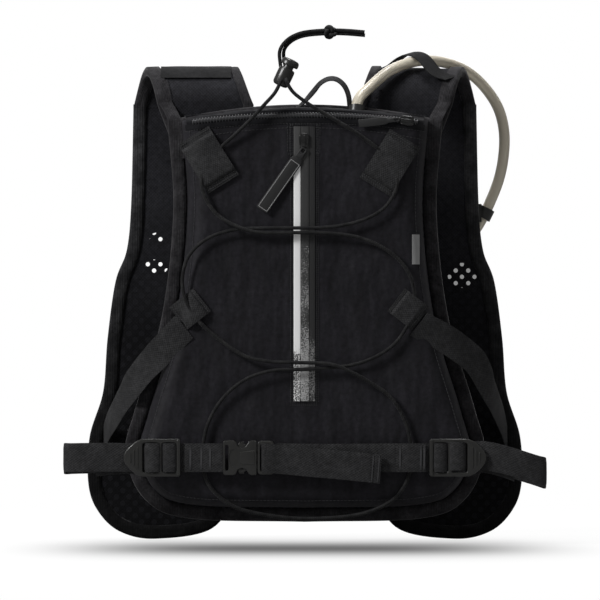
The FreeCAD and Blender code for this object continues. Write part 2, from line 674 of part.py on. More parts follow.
def flask_pocket():
    """The right front pocket: a stretch cover with its mouth upwards."""
    wall, depth, mouth = size("pocket_wall"), size("pocket_depth"), size("pocket_top")
    left, right, low = 85.0, size("front_hip_half") - 16, 31.0
    cover = Part.makeBox(right - left, depth, mouth - low, Vector(left, FRONT_FAR, low))
    upright = [e for e in cover.Edges if e.BoundBox.ZLength > 50 and e.BoundBox.YMin > FRONT_FAR + 1]
    lower = [e for e in cover.Edges if e.BoundBox.ZMax < low + 1 and e.BoundBox.YLength < depth - 1]
    lower = [e for e in lower if e.BoundBox.YMin > FRONT_FAR + 1]
    cover = cover.makeFillet(9.0, upright + lower)
    room = Part.makeBox(right - left - 2 * wall, depth - wall, mouth, Vector(left + wall, FRONT_FAR, low + wall))
    upright = [e for e in room.Edges if e.BoundBox.ZLength > 50 and e.BoundBox.YMin > FRONT_FAR + 1]
    return cover.cut(room.makeFillet(7.5, upright))


def make_harness():
    """Both shoulders, front panels, their bindings and pockets, and the elastic keepers on the shoulders."""
    yokes, panels, covers = yoke(), plate(front_outline(0, FRONT_NEAR), size("strap_thick")), flask_pocket()
    binding = bound_edge(front_outline, FRONT_NEAR, size("strap_thick"))
    below_fold = Part.makeBox(400, 300, BEND_Z + 6, Vector(0, -100, -20))
    binding = binding.common(below_fold)
    for side, sign in SIDES:
        turn = mirrored if sign < 0 else Part.Shape.copy
        feature(f"shoulder_yoke_{side}", turn(yokes))
        feature(f"front_panel_{side}", turn(panels))
        feature(f"flask_pocket_{side}", turn(covers))
    feature("front_bindings", Part.makeCompound([binding, mirrored(binding)]))
    band = 13.0
    low_r, top_r = STRAP_OUTER_R + GAP, ARC + size("hose_size") / 2 - 1.4
    centre, sideways = Vector(0, BEND_Y, BEND_Z), Vector(1, 0, 0)

    def hoop(start, length, inner, outer):
        at = centre + sideways * start
        ring = Part.makeCylinder(outer, length, at, sideways).cut(Part.makeCylinder(inner, length, at, sideways))
        return ring.common(Part.makeBox(length, band, 2 * outer, Vector(start, BEND_Y - band / 2, BEND_Z)))

    flat = hoop(-126.0, 60.0, low_r, low_r + 1.4)
    tall = hoop(72.0, 66.0, low_r, top_r + 1.4).cut(hoop(78.0, 54.0, 0.0, top_r))
    feature("hose_keepers", Part.makeCompound([flat, tall]))


def make_chest():
    """The sternum strap on its two rails, with its release buckle."""
    rail_r, half, length = size("rail_size") / 2, size("rail_half"), size("rail_length")
    level, web, thick = size("sternum_height"), size("sternum_width"), size("web_thick")
    rail_y = FRONT_FAR + 6.0
    rails = []
    for sign in (-1, 1):
        foot_low, foot_high = level - length / 2, level + length / 2
        bar = Part.makeCylinder(rail_r, length, Vector(sign * half, rail_y, foot_low), Vector(0, 0, 1))
        feet = [Part.makeCylinder(rail_r, rail_y - FRONT_FAR, Vector(sign * half, FRONT_FAR, z), Vector(0, 1, 0))
                for z in (foot_low + rail_r, foot_high - rail_r)]
        rails.append(bar.fuse(feet))
    feature("sternum_rails", Part.makeCompound(rails))
    block_half, socket_half, plug_end = 6.0, 16.0, 34.0
    for side, sign in SIDES:
        block = rounded_box(
            Vector(sign * half - block_half, rail_y - 4.6, level - 12),
            Vector(sign * half + block_half, rail_y + 5.0, level + 12), 1.6, Vector(0, 0, 1))
        bore = Part.makeCylinder(rail_r + 0.25, 40, Vector(sign * half, rail_y, level - 20), Vector(0, 0, 1))
        feature(f"sternum_slider_{side}", block.cut(bore))
        ends = sorted((sign * (half - block_half), sign * (plug_end if sign > 0 else socket_half)))
        feature(f"sternum_web_{side}", Part.makeBox(ends[1] - ends[0], thick, web,
                                                    Vector(ends[0], rail_y - thick / 2, level - web / 2)))
    feature("sternum_socket", socket_half_shape(-socket_half, 28.0, web + 3, 8.0, rail_y, level))
    feature("sternum_plug", plug_half_shape(-socket_half, 28.0, plug_end - 28.0 + socket_half, web + 3, 8.0, rail_y,
                                            level))
    feature("sternum_arms", spring_arms_shape(-socket_half, 28.0, web + 3, 8.0, rail_y, level))


# ---------------------------------------------------------------------------------------------------------------
# Buckles: a socket open to +X and a plug that enters it
# ---------------------------------------------------------------------------------------------------------------
BUCKLE_WALL = 1.5
SOCKET_FLOOR = 6.0
ARM_HEIGHT = 4.4


def socket_half_shape(left, length, height, thick, y, z):
    """The socket half: a shell open at its right end, with a window in each edge for the plug's arms."""
    wall, depth = BUCKLE_WALL, length - SOCKET_FLOOR
    shell = rounded_box(Vector(left, y - thick / 2, z - height / 2), Vector(left + length, y + thick / 2, z + height / 2),
                        2.2, Vector(1, 0, 0))
    room = Part.makeBox(depth, thick - 2 * wall, height - 2 * wall - 2.6,
                        Vector(left + length - depth, y - thick / 2 + wall, z - height / 2 + wall + 1.3))
    window = Part.makeBox(length * 0.42, thick - 2 * wall, height * 2,
                          Vector(left + length * 0.34, y - thick / 2 + wall, z - height))
    slot = Part.makeBox(2.4, thick * 2, height * 0.72, Vector(left + 1.6, y - thick, z - height * 0.36))
    return shell.cut(room).cut(window).cut(slot)


def plug_half_shape(left, length, frame, height, thick, y, z):
    """The plug half: a ladder frame for the webbing, with the guide that enters the socket."""
    wall, depth, guide = BUCKLE_WALL, length - SOCKET_FLOOR, height * 0.2
    mouth = left + length
    depth_in = thick - 2 * wall - 2 * GAP
    block = rounded_box(Vector(mouth + GAP, y - thick / 2 + 0.8, z - height / 2 + 0.6),
                        Vector(mouth + frame, y + thick / 2 - 0.8, z + height / 2 - 0.6), 1.6, Vector(1, 0, 0))
    windows = []
    span = (frame - GAP - 4 * 2.6) / 3 if frame > 20 else (frame - GAP - 3 * 2.6) / 2
    count = 3 if frame > 20 else 2
    for i in range(count):
        start = mouth + GAP + 2.6 + i * (span + 2.6)
        windows.append(Part.makeBox(span, thick * 2, height * 0.74, Vector(start, y - thick, z - height * 0.37)))
    solid = block.cut(Part.makeCompound(windows))
    middle = Part.makeBox(depth - 2 + GAP + 1, depth_in, guide,
                          Vector(mouth - depth + 2, y - depth_in / 2, z - guide / 2))
    return solid.fuse(middle).removeSplitter()


def spring_arms_shape(left, length, height, thick, y, z):
    """The plug's two springy arms, each with a thumb pad that stands in the socket's side window."""
    wall, arm = BUCKLE_WALL, ARM_HEIGHT
    mouth, depth_in, reach = left + length, thick - 2 * wall - 2 * GAP, length * 0.58
    arms = []
    for sign in (-1, 1):
        root = z + sign * (height / 2 - wall - 1.3 - GAP - arm / 2)
        bar = Part.makeBox(reach + GAP, depth_in, arm, Vector(mouth - reach, y - depth_in / 2, root - arm / 2))
        thumb = Part.makeBox(length * 0.3, depth_in, arm,
                             Vector(left + length * 0.42, y - depth_in / 2, root - arm / 2 + sign * 3.0))
        arms.append(bar.fuse(thumb).removeSplitter())
    return Part.makeCompound(arms)


# ---------------------------------------------------------------------------------------------------------------
# Waist belt
# ---------------------------------------------------------------------------------------------------------------
BELT_Y = BELT_BACK - size("web_thick") / 2
BELT_Z = size("belt_height")
BUCKLE_MOUTH = size("buckle_left") + size("buckle_socket")
PLUG_END = BUCKLE_MOUTH + size("buckle_frame")
LOCK_OUT = size("lock_centre") + size("lock_length") / 2
LOCK_IN = size("lock_centre") - size("lock_length") / 2


def strip(points, radius, width, thick, across=Vector(0, 0, 1)):
    """Webbing along a flat path with rounded turns of one radius."""
    edges, start = [], points[0]
    for before, corner, after in zip(points, points[1:], points[2:]):
        a, b = Vector(before - corner).normalize(), Vector(after - corner).normalize()
        half = (math.pi - a.getAngle(b)) / 2
        reach = radius * math.tan(half)
        middle = corner + Vector(a + b).normalize() * (radius / math.cos(half) - radius)
        first, last = corner + a * reach, corner + b * reach
        edges.append(Part.LineSegment(start, first).toShape())
        edges.append(Part.Arc(first, middle, last).toShape())
        start = last
    edges.append(Part.LineSegment(start, points[-1]).toShape())
    side = Vector(across).normalize() * (width / 2)
    up = Vector(points[1] - points[0]).cross(across).normalize() * (thick / 2)
    at = points[0]
    corners = [at + side + up, at - side + up, at - side - up, at + side - up]
    section = Part.makePolygon(corners + [corners[0]])
    return Part.Wire(edges).makePipeShell([section], True, False)


def make_tension_lock(side, sign):
    """A tension lock: a ladder frame with two windows for the webbing and a thumb tab at its outer end."""
    body = new_body(f"tension_lock_{side}")
    frame = sketch_on(body, "XZ_Plane", f"lock_frame_{side}")
    centre = "{lock_centre}" if sign > 0 else "-{lock_centre}"
    left = centre + " - {lock_length} / 2"
    rectangle(frame, left, "{belt_height} - {lock_height} / 2", "{lock_length}", "{lock_height}")
    made = pad(body, frame, "{lock_thick}", f"lock_plate_{side}")
    made.Midplane = True
    windows = sketch_on(body, "XZ_Plane", f"lock_windows_{side}")
    inner = "({lock_centre} - {lock_length} / 2 + {lock_bar})"
    opening = "(({lock_length} * 0.72 - 3 * {lock_bar}) / 2)"
    for i in range(2):
        step = f" + {i} * ({opening} + {{lock_bar}})"
        low = f"{inner}{step}" if sign > 0 else f"-({inner}{step}) - {opening}"
        rectangle(windows, low, "{belt_height} - {lock_height} / 2 + {lock_bar}", opening,
                  "{lock_height} - 2 * {lock_bar}")
    pocket(body, windows, f"lock_opening_{side}")
    doc.recompute()
    bind(body, Placement__Base__y=cell(BELT_AT))
    doc.recompute()
    plate_edges = enumerate(body.Tip.Shape.Edges, start=1)
    ends = [f"Edge{i}" for i, e in plate_edges if abs(e.BoundBox.Center.x) < LOCK_IN + 0.1
            and e.BoundBox.ZLength > size("lock_height") - 0.1]
    base = body.Tip
    rounding = body.newObject("PartDesign::Fillet", f"lock_rounding_{side}")
    rounding.Base = (base, ends)
    bind(rounding, Radius=cell("{lock_thick} * 0.42"))
    body.Tip = rounding


def make_belt():
    """The waist belt: side straps, locks, links, release buckle and the free tail."""
    web, thick, reach = size("web_width"), size("web_thick"), size("belt_reach")
    turn = size("lock_thick") / 2 + thick / 2 + 0.3
    bar = LOCK_OUT - size("lock_length") * 0.28
    root_y = SEAM - 3.0
    for side, sign in SIDES:
        points = [
            Vector(sign * (bar + 26), BELT_Y - turn, BELT_Z),
            Vector(sign * (bar - size("lock_bar") - turn), BELT_Y - turn, BELT_Z),
            Vector(sign * (bar - size("lock_bar") - turn), BELT_Y + turn, BELT_Z),
            Vector(sign * (reach - thick / 2), BELT_Y + turn, BELT_Z),
            Vector(sign * (reach - thick / 2), root_y, BELT_Z - 2),
            Vector(sign * (size("panel_base_half") + 3), root_y, BELT_Z - 2),
        ]
        feature(f"belt_strap_{side}", strip(points, turn - 0.01, web, thick))
        make_tension_lock(side, sign)
    left_link = Part.makeBox(size("buckle_left") + LOCK_IN - 2 * GAP, thick, web,
                             Vector(-LOCK_IN + GAP, BELT_BACK - thick, BELT_Z - web / 2))
    feature("belt_link_left", left_link)
    right_link = Part.makeBox(LOCK_IN - GAP - PLUG_END, thick, web, Vector(PLUG_END, BELT_BACK - thick, BELT_Z - web / 2))
    feature("belt_link_right", right_link)
    tail_start = PLUG_END + 4.0
    tail = ribbon([
        (Vector(tail_start, BELT_Y - thick - GAP, BELT_Z - 3), Vector(0, 0, 1), Vector(0, 1, 0)),
        (Vector(size("tail_end"), BELT_Y - thick - GAP, BELT_Z - 10), Vector(0.08, 0, 1), Vector(0, 1, 0)),
    ], web, thick)
    feature("belt_tail", tail)
    height, deep = size("buckle_height"), size("buckle_thick")
    socket = socket_half_shape(size("buckle_left"), size("buckle_socket"), height, deep, BELT_Y, BELT_Z)
    feature("buckle_socket", socket)
    plug = plug_half_shape(size("buckle_left"), size("buckle_socket"), size("buckle_frame"), height, deep, BELT_Y, BELT_Z)
    feature("buckle_plug", plug)
    feature("buckle_arms", spring_arms_shape(size("buckle_left"), size("buckle_socket"), height, deep, BELT_Y, BELT_Z))


# ---------------------------------------------------------------------------------------------------------------
# Zips
# ---------------------------------------------------------------------------------------------------------------
TOP_ZIP_Z = size("panel_top") - size("top_zip_drop")
TOP_ZIP_CENTRE = Vector(0, 0, TOP_ZIP_Z - size("top_zip_radius"))


def zip_band(width, y_low, y_high):
    """A flat band along the top zip's arc."""
    radius, swing = size("top_zip_radius"), math.degrees(size("top_zip_reach") / size("top_zip_radius"))
    outer = Part.makeCylinder(radius + width / 2, y_high - y_low, TOP_ZIP_CENTRE + Vector(0, y_low, 0), Vector(0, 1, 0))
    inner = Part.makeCylinder(radius - width / 2, y_high - y_low, TOP_ZIP_CENTRE + Vector(0, y_low, 0), Vector(0, 1, 0))
    reach = size("top_zip_reach")
    limit = Part.makeBox(2 * reach, y_high - y_low, 100, Vector(-reach, y_low, TOP_ZIP_Z - 50))
    return outer.common(limit).cut(inner)


def slider_shape(face):
    """A zip slider at the origin pointing up: a low body over the coil with a raised bail."""
    long, wide, tall = size("slider_length"), size("slider_width"), size("slider_height")
    coil_top = face - size("zip_tape_thick") - size("zip_coil_thick") - 0.05
    body = rounded_box(Vector(-wide / 2, coil_top - tall * 0.6, -long / 2), Vector(wide / 2, coil_top, long / 2),
                       2.0, Vector(0, 1, 0))
    bail = Part.makeBox(2.0, tall * 0.4 + 0.2, long * 0.7, Vector(-1.0, coil_top - tall, -long * 0.35))
    return body.fuse(bail)


def pull_shape(length, width, face):
    """A pull tab hanging from the origin, with a small ring at its top."""
    thick, y = size("pull_thick"), face - size("zip_tape_thick") - size("zip_coil_thick") - 0.4
    tab = rounded_box(Vector(-width / 2, y - thick, -length), Vector(width / 2, y, -4.0), 2.0, Vector(0, 1, 0))
    ring = Part.makeBox(4.0, thick, 6.0, Vector(-2.0, y - thick, -6.0))
    return tab.fuse(ring)


def make_zips():
    """The zip over the top of the bag and the zip down its middle, with sliders and pulls."""
    tape, coil = size("zip_tape_thick"), size("zip_coil_thick")
    feature("main_zip_tape", zip_band(size("top_zip_tape"), BAG_FACE - tape, BAG_FACE))
    feature("main_zip_coil", zip_band(size("zip_coil_width"), BAG_FACE - tape - coil, BAG_FACE - tape))
    swing = math.degrees((size("top_zip_reach") - 10) / size("top_zip_radius"))
    park = TOP_ZIP_CENTRE + Vector(size("top_zip_radius") * math.sin(math.radians(swing)), 0,
                                   size("top_zip_radius") * math.cos(math.radians(swing)))
    slider = feature("main_zip_slider", slider_shape(BAG_FACE))
    slider.Placement = Placement(park, Rotation(Vector(0, 1, 0), 90 + swing))
    pull = feature("main_zip_pull", pull_shape(34.0, 7.0, BAG_FACE))
    bail = park + Vector(-size("slider_length") / 2 - 2.4, 0, 0.8)
    pull.Placement = Placement(bail, Rotation(Vector(0, 1, 0), 84))
    bottom, top = size("zip_bottom"), size("zip_top")
    wide, narrow = size("zip_tape_width"), size("zip_coil_width")
    centre_tape = Part.makeBox(wide, tape, top - bottom, Vector(ZIP_X - wide / 2, BAG_FACE - tape, bottom))
    feature("centre_zip_tape", centre_tape)
    teeth = Part.makeBox(narrow, coil, top - bottom - 4, Vector(ZIP_X - narrow / 2, BAG_FACE - tape - coil, bottom + 2))
    feature("centre_zip_coil", teeth)
    slider = feature("centre_zip_slider", slider_shape(BAG_FACE))
    slider.Placement = Placement(Vector(ZIP_X, 0, top - 13), Rotation())
    pull = feature("centre_zip_pull", pull_shape(size("pull_length"), size("pull_width"), BAG_FACE))
    bail = Vector(ZIP_X, 0, top - 13 - size("slider_length") / 2 - 2.4)
    pull.Placement = Placement(bail, Rotation(Vector(0, 1, 0), size("pull_turn")))


# ---------------------------------------------------------------------------------------------------------------
# Cord loops, side straps and hang loop
# ---------------------------------------------------------------------------------------------------------------
def tunnel(width, length, flat, rise, thick):
    """A cord loop at the origin: webbing of a width, laid along Z, arched over a tunnel along X."""
    ramp, y = 4.5, -thick / 2
    points = [
        Vector(0, y, -length / 2), Vector(0, y, -flat / 2 - ramp), Vector(0, y - rise, -flat / 2),
        Vector(0, y - rise, flat / 2), Vector(0, y, flat / 2 + ramp), Vector(0, y, length / 2),
    ]
    return strip(points, 1.6, width, thick, Vector(1, 0, 0))


def make_loops():
    """The two upper cord loops sewn on the bag, and the side straps that end in cord loops."""
    rise, thick, web = size("loop_rise"), size("web_thick"), size("web_width")
    upper = tunnel(size("upper_loop_width"), size("upper_loop_length"), 22.0, rise, thick)
    pair = []
    for sign in (-1, 1):
        one = upper.copy()
        at = Vector(LACING_X + sign * size("upper_loop_reach"), BAG_FACE, size("upper_loop_height"))
        one.Placement = Placement(at, Rotation(Vector(0, 1, 0), sign * size("upper_loop_turn")))
        pair.append(one)
    feature("bungee_loops_upper", Part.makeCompound(pair))
    for side, sign in SIDES:
        centre = Vector(LACING_X + sign * size("side_loop_reach"), BAG_FACE, size("side_loop_height"))
        end = tunnel(web, size("side_loop_length"), size("side_loop_length") - 12, rise, thick)
        turn = size("side_loop_turn")
        end.Placement = Placement(centre, Rotation(Vector(0, 1, 0), sign * (180 - turn)))
        run = Vector(sign * math.sin(math.radians(turn)), 0, -math.cos(math.radians(turn)))
        edge = Vector(sign * math.cos(math.radians(turn)), 0, math.sin(math.radians(turn)))
        start = centre + run * (size("side_loop_length") / 2) + Vector(0, -thick / 2, 0)
        hip = size("panel_base_half")
        last = Vector(sign * (size("front_hip_half") + 6), FRONT_NEAR - size("binding_thick") - 2 * GAP, 92)
        stations = [
            (start, edge, Vector(0, 1, 0)),
            (start + run * 22 + Vector(0, -0.4, 0), edge, Vector(0, 1, 0)),
            (Vector(sign * (hip - 8), BAG_FACE + 10, 152), edge + Vector(0, 0.5, 0), Vector(-sign, 1, 0)),
            (Vector(sign * (hip + 4), SEAM - 8, 138), Vector(0.3 * sign, 0.3, 1), Vector(-sign, 0, 0)),
            (Vector(sign * (hip + 9), SEAM + 24, 122), Vector(0, 0, 1), Vector(-sign, 0, 0)),
            (last, Vector(0, 0, 1), Vector(-sign, 0, 0)),
        ]
        rest = ribbon(stations, web, thick)
        feature(f"compression_strap_{side}", Part.makeCompound([end, rest]))


def make_hang_loop():
    """The hang loop at the middle of the top edge."""
    x, half, top = size("hang_loop_x"), size("hang_loop_half"), size("hang_loop_top")
    y, foot = SEAM - 6.0, size("panel_top") + 0.2
    points = [
        Vector(x - half, y, foot - 0.6),
        Vector(x - half + 2, y, foot + 12),
        Vector(x, y, top + 2),
        Vector(x + half - 2, y, foot + 12),
        Vector(x + half, y, foot - 0.9),
    ]
    feature("hang_loop", strip(points, 9.0, size("hang_tape_width"), size("hang_tape_thick"), Vector(0, 1, 0)))


# ---------------------------------------------------------------------------------------------------------------
# Bungee lacing, cord lock and knot
# ---------------------------------------------------------------------------------------------------------------
LOCK_AT = Vector(-18.5, BAG_FACE - 2.0, 408.0)


def on_face(x, z, lift):
    """A point of the lacing: lift is how far it stands off the bag's face."""
    return Vector(x, BAG_FACE - lift, z)


TAIL_Y = LOCK_AT.y + 13
BUNGEE = [
    Vector(52, TAIL_Y - 0.9, 447.6),
    Vector(38, TAIL_Y - 0.9, 448.8),
    Vector(26, TAIL_Y - 0.9, 449.2),
    Vector(12, TAIL_Y - 0.9, 448.8),
    Vector(-3.4, TAIL_Y - 0.9, 446.8),
    Vector(-15.2, TAIL_Y - 0.9, 441),
    Vector(-22, TAIL_Y - 0.9, 431.5),
    LOCK_AT + Vector(-3.0, 12, 12),
    LOCK_AT + Vector(-2.0, 9.5, 4.3),
    LOCK_AT + Vector(-1.9, 0, 0),
    LOCK_AT + Vector(-2.6, -9.5, -4.0),
    LOCK_AT + Vector(-7.5, -9.5, -14),
    on_face(-35, 384, 9),
    on_face(-48, 370, 6.4),
    on_face(-66, 353, 3.2),
    on_face(-80, 341, 2.1),
    on_face(-88, 329, 2.2),
    on_face(-90, 315, 3.8),
    on_face(-86, 301, 4.6),
    on_face(-75, 287, 5.4),
    on_face(-57, 277, 8.0),
    on_face(-37, 272.4, 7.2),
    on_face(-4, 272.6, 6.9),
    on_face(30, 271.4, 6.4),
    on_face(54, 266, 5.4),
    on_face(76, 254, 4.6),
    on_face(90, 238, 3.8),
    on_face(95, 220, 2.5),
    on_face(94, 204, 2.1),
    on_face(87, 188, 3.2),
    on_face(76, 174, 4.2),
    on_face(58, 163, 4.4),
    on_face(35, 156.4, 4.4),
    on_face(-4, 153.6, 6.8),
    on_face(-28, 152.8, 6.8),
    on_face(-52, 145, 5.8),
    on_face(-71, 129, 3.8),
    on_face(-83, 110, 3.6),
    on_face(-88, 92, 3.4),
    on_face(-89, 74, 3.4),
    on_face(-86, 58, 3.0),
    on_face(-77, 45, 2.6),
    on_face(-57, 32, 0.4),
    on_face(-18, 24.6, -4.4),
    on_face(18, 24.0, -4.4),
    on_face(50, 28, -1.6),
    on_face(75, 39, 2.0),
    on_face(88, 55, 2.8),
    on_face(92.5, 73, 3.4),
    on_face(91.5, 91, 3.4),
    on_face(86, 111, 3.6),
    on_face(74, 130, 4.6),
    on_face(57, 142, 6.4),
    on_face(39, 152, 8.2),
    on_face(22, 158.4, 8.0),
    on_face(-6, 159.6, 6.8),
    on_face(-31, 160.6, 6.6),
    on_face(-52, 165, 5.8),
    on_face(-71, 177, 4.0),
    on_face(-89, 192, 2.6),
    on_face(-100, 206, 2.1),
    on_face(-106, 222, 2.6),
    on_face(-106, 238, 3.6),
    on_face(-100, 254, 4.2),
    on_face(-84, 268, 4.4),
    on_face(-62, 275, 5.4),
    on_face(-40, 276.4, 6.8),
    on_face(-6, 276.6, 6.9),
    on_face(25, 277.6, 6.2),
    on_face(52, 284, 5.2),
    on_face(70, 295, 4.4),
    on_face(79, 310, 3.4),
    on_face(80, 324, 2.3),
    on_face(74, 337, 2.1),
    on_face(59, 349, 3.4),
    on_face(42, 361, 6.2),
    on_face(22, 373, 8.0),
    on_face(5, 383, 10.4),
    LOCK_AT + Vector(8.5, -9.5, -14),
    LOCK_AT + Vector(2.4, -9.5, -4.0),
    LOCK_AT + Vector(1.9, 0, 0),
    LOCK_AT + Vector(2.0, 9.5, 4.3),
    LOCK_AT + Vector(1.0, 15, 11.5),
    Vector(-18.6, TAIL_Y + 1.2, 431),
    Vector(-12.6, TAIL_Y + 0.9, 439.2),
    Vector(-2, TAIL_Y + 0.9, 444.2),
    Vector(12.6, TAIL_Y + 0.9, 446),
    Vector(26.4, TAIL_Y + 0.9, 446.4),
    Vector(38.4, TAIL_Y + 0.9, 446),
    Vector(52.4, TAIL_Y + 0.9, 444.8),
]
KNOT_AT = Vector(22, TAIL_Y, 447.6)


def make_lacing():
    """The shock cord, the knot in its ends and the spring cord lock."""
    feature("bungee_cord", tube("bungee_cord", BUNGEE, size("cord_size")))
    knot = Part.makeSphere(size("knot_size") / 2, KNOT_AT)
    feature("bungee_knot", knot)
    lean = Rotation(Vector(0, 1, 0), size("cord_lock_turn"))
    radius, length = size("cord_lock_width") / 2, size("cord_lock_length")
    travel, wall, cap = size("cord_lock_travel"), 1.6, size("cord_lock_cap")
    low = -length * 0.6
    barrel = Part.makeCylinder(radius, length, Vector(0, 0, low))
    barrel = barrel.cut(Part.makeCylinder(radius - wall, length, Vector(0, 0, low + wall)))
    stem_r = radius - wall - 0.15
    stem_low = low + wall + 4.4
    stem = Part.makeCylinder(stem_r, length + low + travel + GAP - stem_low, Vector(0, 0, stem_low))
    top = Part.makeCylinder(radius, cap, Vector(0, 0, length + low + travel + GAP))
    top = top.makeFillet(1.8, [top.Edges[0]])
    button = stem.fuse(top)
    spring = Part.makeTorus(stem_r - 1.2, 0.5, Vector(0, 0, low + wall + 0.7))
    turns = [spring.translated(Vector(0, 0, 1.25 * i)) for i in range(3)]
    place = Placement(LOCK_AT, lean)
    way = Vector(0, 9.5, 4.3)
    slot = Part.makeBox(9.4, 40, 4.8, Vector(-4.7, -20, -2.4))
    slot.Placement = Placement(LOCK_AT, Rotation(Vector(0, 1, 0), way))
    tall_slot = slot.fuse(slot.translated(Vector(0, 0, travel)))
    for label, shape in (("cord_lock_body", barrel), ("cord_lock_button", button)):
        shape.Placement = place
        shape = shape.cut(slot if label == "cord_lock_body" else tall_slot)
        feature(label, shape)
    coil = Part.makeCompound(turns)
    coil.Placement = place
    feature("cord_lock_spring", coil)


# ---------------------------------------------------------------------------------------------------------------
# The whole pack
# ---------------------------------------------------------------------------------------------------------------
def main():
    """Builds every sub-part, checks it and writes it."""
    for step in (make_back_panel, make_bag, make_reservoir, make_hose, make_harness, make_chest, make_belt,
                 make_zips, make_loops, make_hang_loop, make_lacing):
        step()
    doc.recompute()
    for item in doc.Objects:
        if "Invalid" in item.State or "Error" in item.State:
            raise RuntimeError(f"{item.Label} is {item.State}")
    os.makedirs("parts", exist_ok=True)
    for item in PARTS:
        if item.Shape.isNull() or not item.Shape.isValid() or not item.Shape.Solids:
            raise RuntimeError(f"{item.Label} has no sound solid")
    for item in PARTS:
        item.Shape.exportStep(f"parts/{item.Label}.step")
    print(len(PARTS), "sub-parts written")


main()
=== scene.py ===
"""Dresses a running hydration pack: a laced bag on a vest harness, with its drink hose and waist belt.

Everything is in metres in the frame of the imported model: +Z up, the bag faces -Y and the wearer stands
towards +Y. Sizes below are millimetres times MM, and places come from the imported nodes' boxes.
"""
import json
import logging
import math
from dataclasses import dataclass
from enum import Enum
from typing import Callable, Iterable, Sequence

import bmesh
import bpy
from mathutils import Matrix, Vector, noise
from mathutils.kdtree import KDTree

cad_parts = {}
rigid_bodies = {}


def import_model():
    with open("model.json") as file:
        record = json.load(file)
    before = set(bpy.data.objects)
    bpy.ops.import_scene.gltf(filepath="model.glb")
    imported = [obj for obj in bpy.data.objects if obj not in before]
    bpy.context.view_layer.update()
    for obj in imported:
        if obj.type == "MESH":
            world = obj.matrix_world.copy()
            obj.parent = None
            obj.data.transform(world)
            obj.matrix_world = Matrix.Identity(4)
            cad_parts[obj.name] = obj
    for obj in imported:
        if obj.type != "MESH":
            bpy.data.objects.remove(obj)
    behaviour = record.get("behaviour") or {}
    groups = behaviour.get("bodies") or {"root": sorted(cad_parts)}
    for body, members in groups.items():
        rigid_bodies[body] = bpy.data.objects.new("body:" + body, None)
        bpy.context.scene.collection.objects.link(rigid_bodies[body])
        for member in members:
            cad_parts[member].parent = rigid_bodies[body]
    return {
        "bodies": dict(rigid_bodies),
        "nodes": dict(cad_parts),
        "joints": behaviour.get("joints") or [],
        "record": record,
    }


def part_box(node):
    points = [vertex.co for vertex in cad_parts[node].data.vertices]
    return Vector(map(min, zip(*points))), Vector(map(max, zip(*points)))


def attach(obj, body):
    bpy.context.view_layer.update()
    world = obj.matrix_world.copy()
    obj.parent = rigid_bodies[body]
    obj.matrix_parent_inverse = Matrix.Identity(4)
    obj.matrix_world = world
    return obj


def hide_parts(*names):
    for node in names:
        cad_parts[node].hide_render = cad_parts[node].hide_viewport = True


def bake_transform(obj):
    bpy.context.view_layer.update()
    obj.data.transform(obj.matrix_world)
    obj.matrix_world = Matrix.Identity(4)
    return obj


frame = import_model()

logging.basicConfig(level=logging.INFO, format="%(message)s")
LOG = logging.getLogger("hydration_pack")
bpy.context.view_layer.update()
MM = 0.001
Flat = tuple[float, float]
UP = Vector((0, 0, 1))
SIDES = (("left", -1), ("right", 1))

# -----------------------------------------------------------------------------
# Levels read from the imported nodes
# -----------------------------------------------------------------------------
SEAM_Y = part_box("back_panel")[0][1]
PANEL_BACK_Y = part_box("back_panel")[1][1]
FACE_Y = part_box("main_shell")[0][1]
FRONT_NEAR_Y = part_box("front_panel_right")[0][1]
FRONT_FAR_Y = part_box("front_panel_right")[1][1]
STRAP_THICK = FRONT_FAR_Y - FRONT_NEAR_Y
STRAP_NEAR_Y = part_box("shoulder_yoke_right")[0][1]
BEND_R = (FRONT_FAR_Y - STRAP_NEAR_Y) / 2
BEND_Y = STRAP_NEAR_Y + BEND_R
BEND_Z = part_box("shoulder_yoke_right")[1][2] - BEND_R
BELT_Y = (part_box("belt_link_left")[0][1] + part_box("belt_link_left")[1][1]) / 2
BELT_Z = (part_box("belt_link_left")[0][2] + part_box("belt_link_left")[1][2]) / 2
ZIP_X = (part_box("centre_zip_tape")[0][0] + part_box("centre_zip_tape")[1][0]) / 2


def mm(*values: float) -> Vector:
    """A point given in millimetres."""
    return Vector([v * MM for v in values])


# -----------------------------------------------------------------------------
# Objects and meshes
# -----------------------------------------------------------------------------
def deselect_all() -> None:
    if bpy.context.object and bpy.context.object.mode != "OBJECT":
        bpy.ops.object.mode_set(mode="OBJECT")
    bpy.ops.object.select_all(action="DESELECT")


def make_active(obj: bpy.types.Object) -> None:
    """Selects one object alone and makes it active."""
    deselect_all()
    obj.select_set(True)
    bpy.context.view_layer.objects.active = obj


def apply_all(obj: bpy.types.Object) -> None:
    """Applies every modifier of an object, in order."""
    make_active(obj)
    for modifier in list(obj.modifiers):
        bpy.ops.object.modifier_apply(modifier=modifier.name)


def settle(obj: bpy.types.Object) -> None:
    """Puts an object's place into its mesh, so that it ends at the origin, unturned and unscaled."""
    obj.data.transform(obj.matrix_world)
    obj.matrix_world = Matrix.Identity(4)


def weld(obj: bpy.types.Object, gap: float) -> None:
    """Merges an object's points that are closer than a gap, and turns its faces outwards."""
    make_active(obj)
    bpy.ops.object.mode_set(mode="EDIT")
    bpy.ops.mesh.select_all(action="SELECT")
    bpy.ops.mesh.remove_doubles(threshold=gap)
    bpy.ops.mesh.normals_make_consistent(inside=False)
    bpy.ops.object.mode_set(mode="OBJECT")


def tube_faces(low: int, high: int, count: int) -> list[tuple[int, ...]]:
    """Faces between two closed rings of points.

    Args:
        low: the index of the first ring's first point.
        high: the same for the second ring.
        count: how many points each ring has.

    Returns:
        Four point indices for each face.
    """
    return [(low + j, low + (j + 1) % count, high + (j + 1) % count, high + j) for j in range(count)]


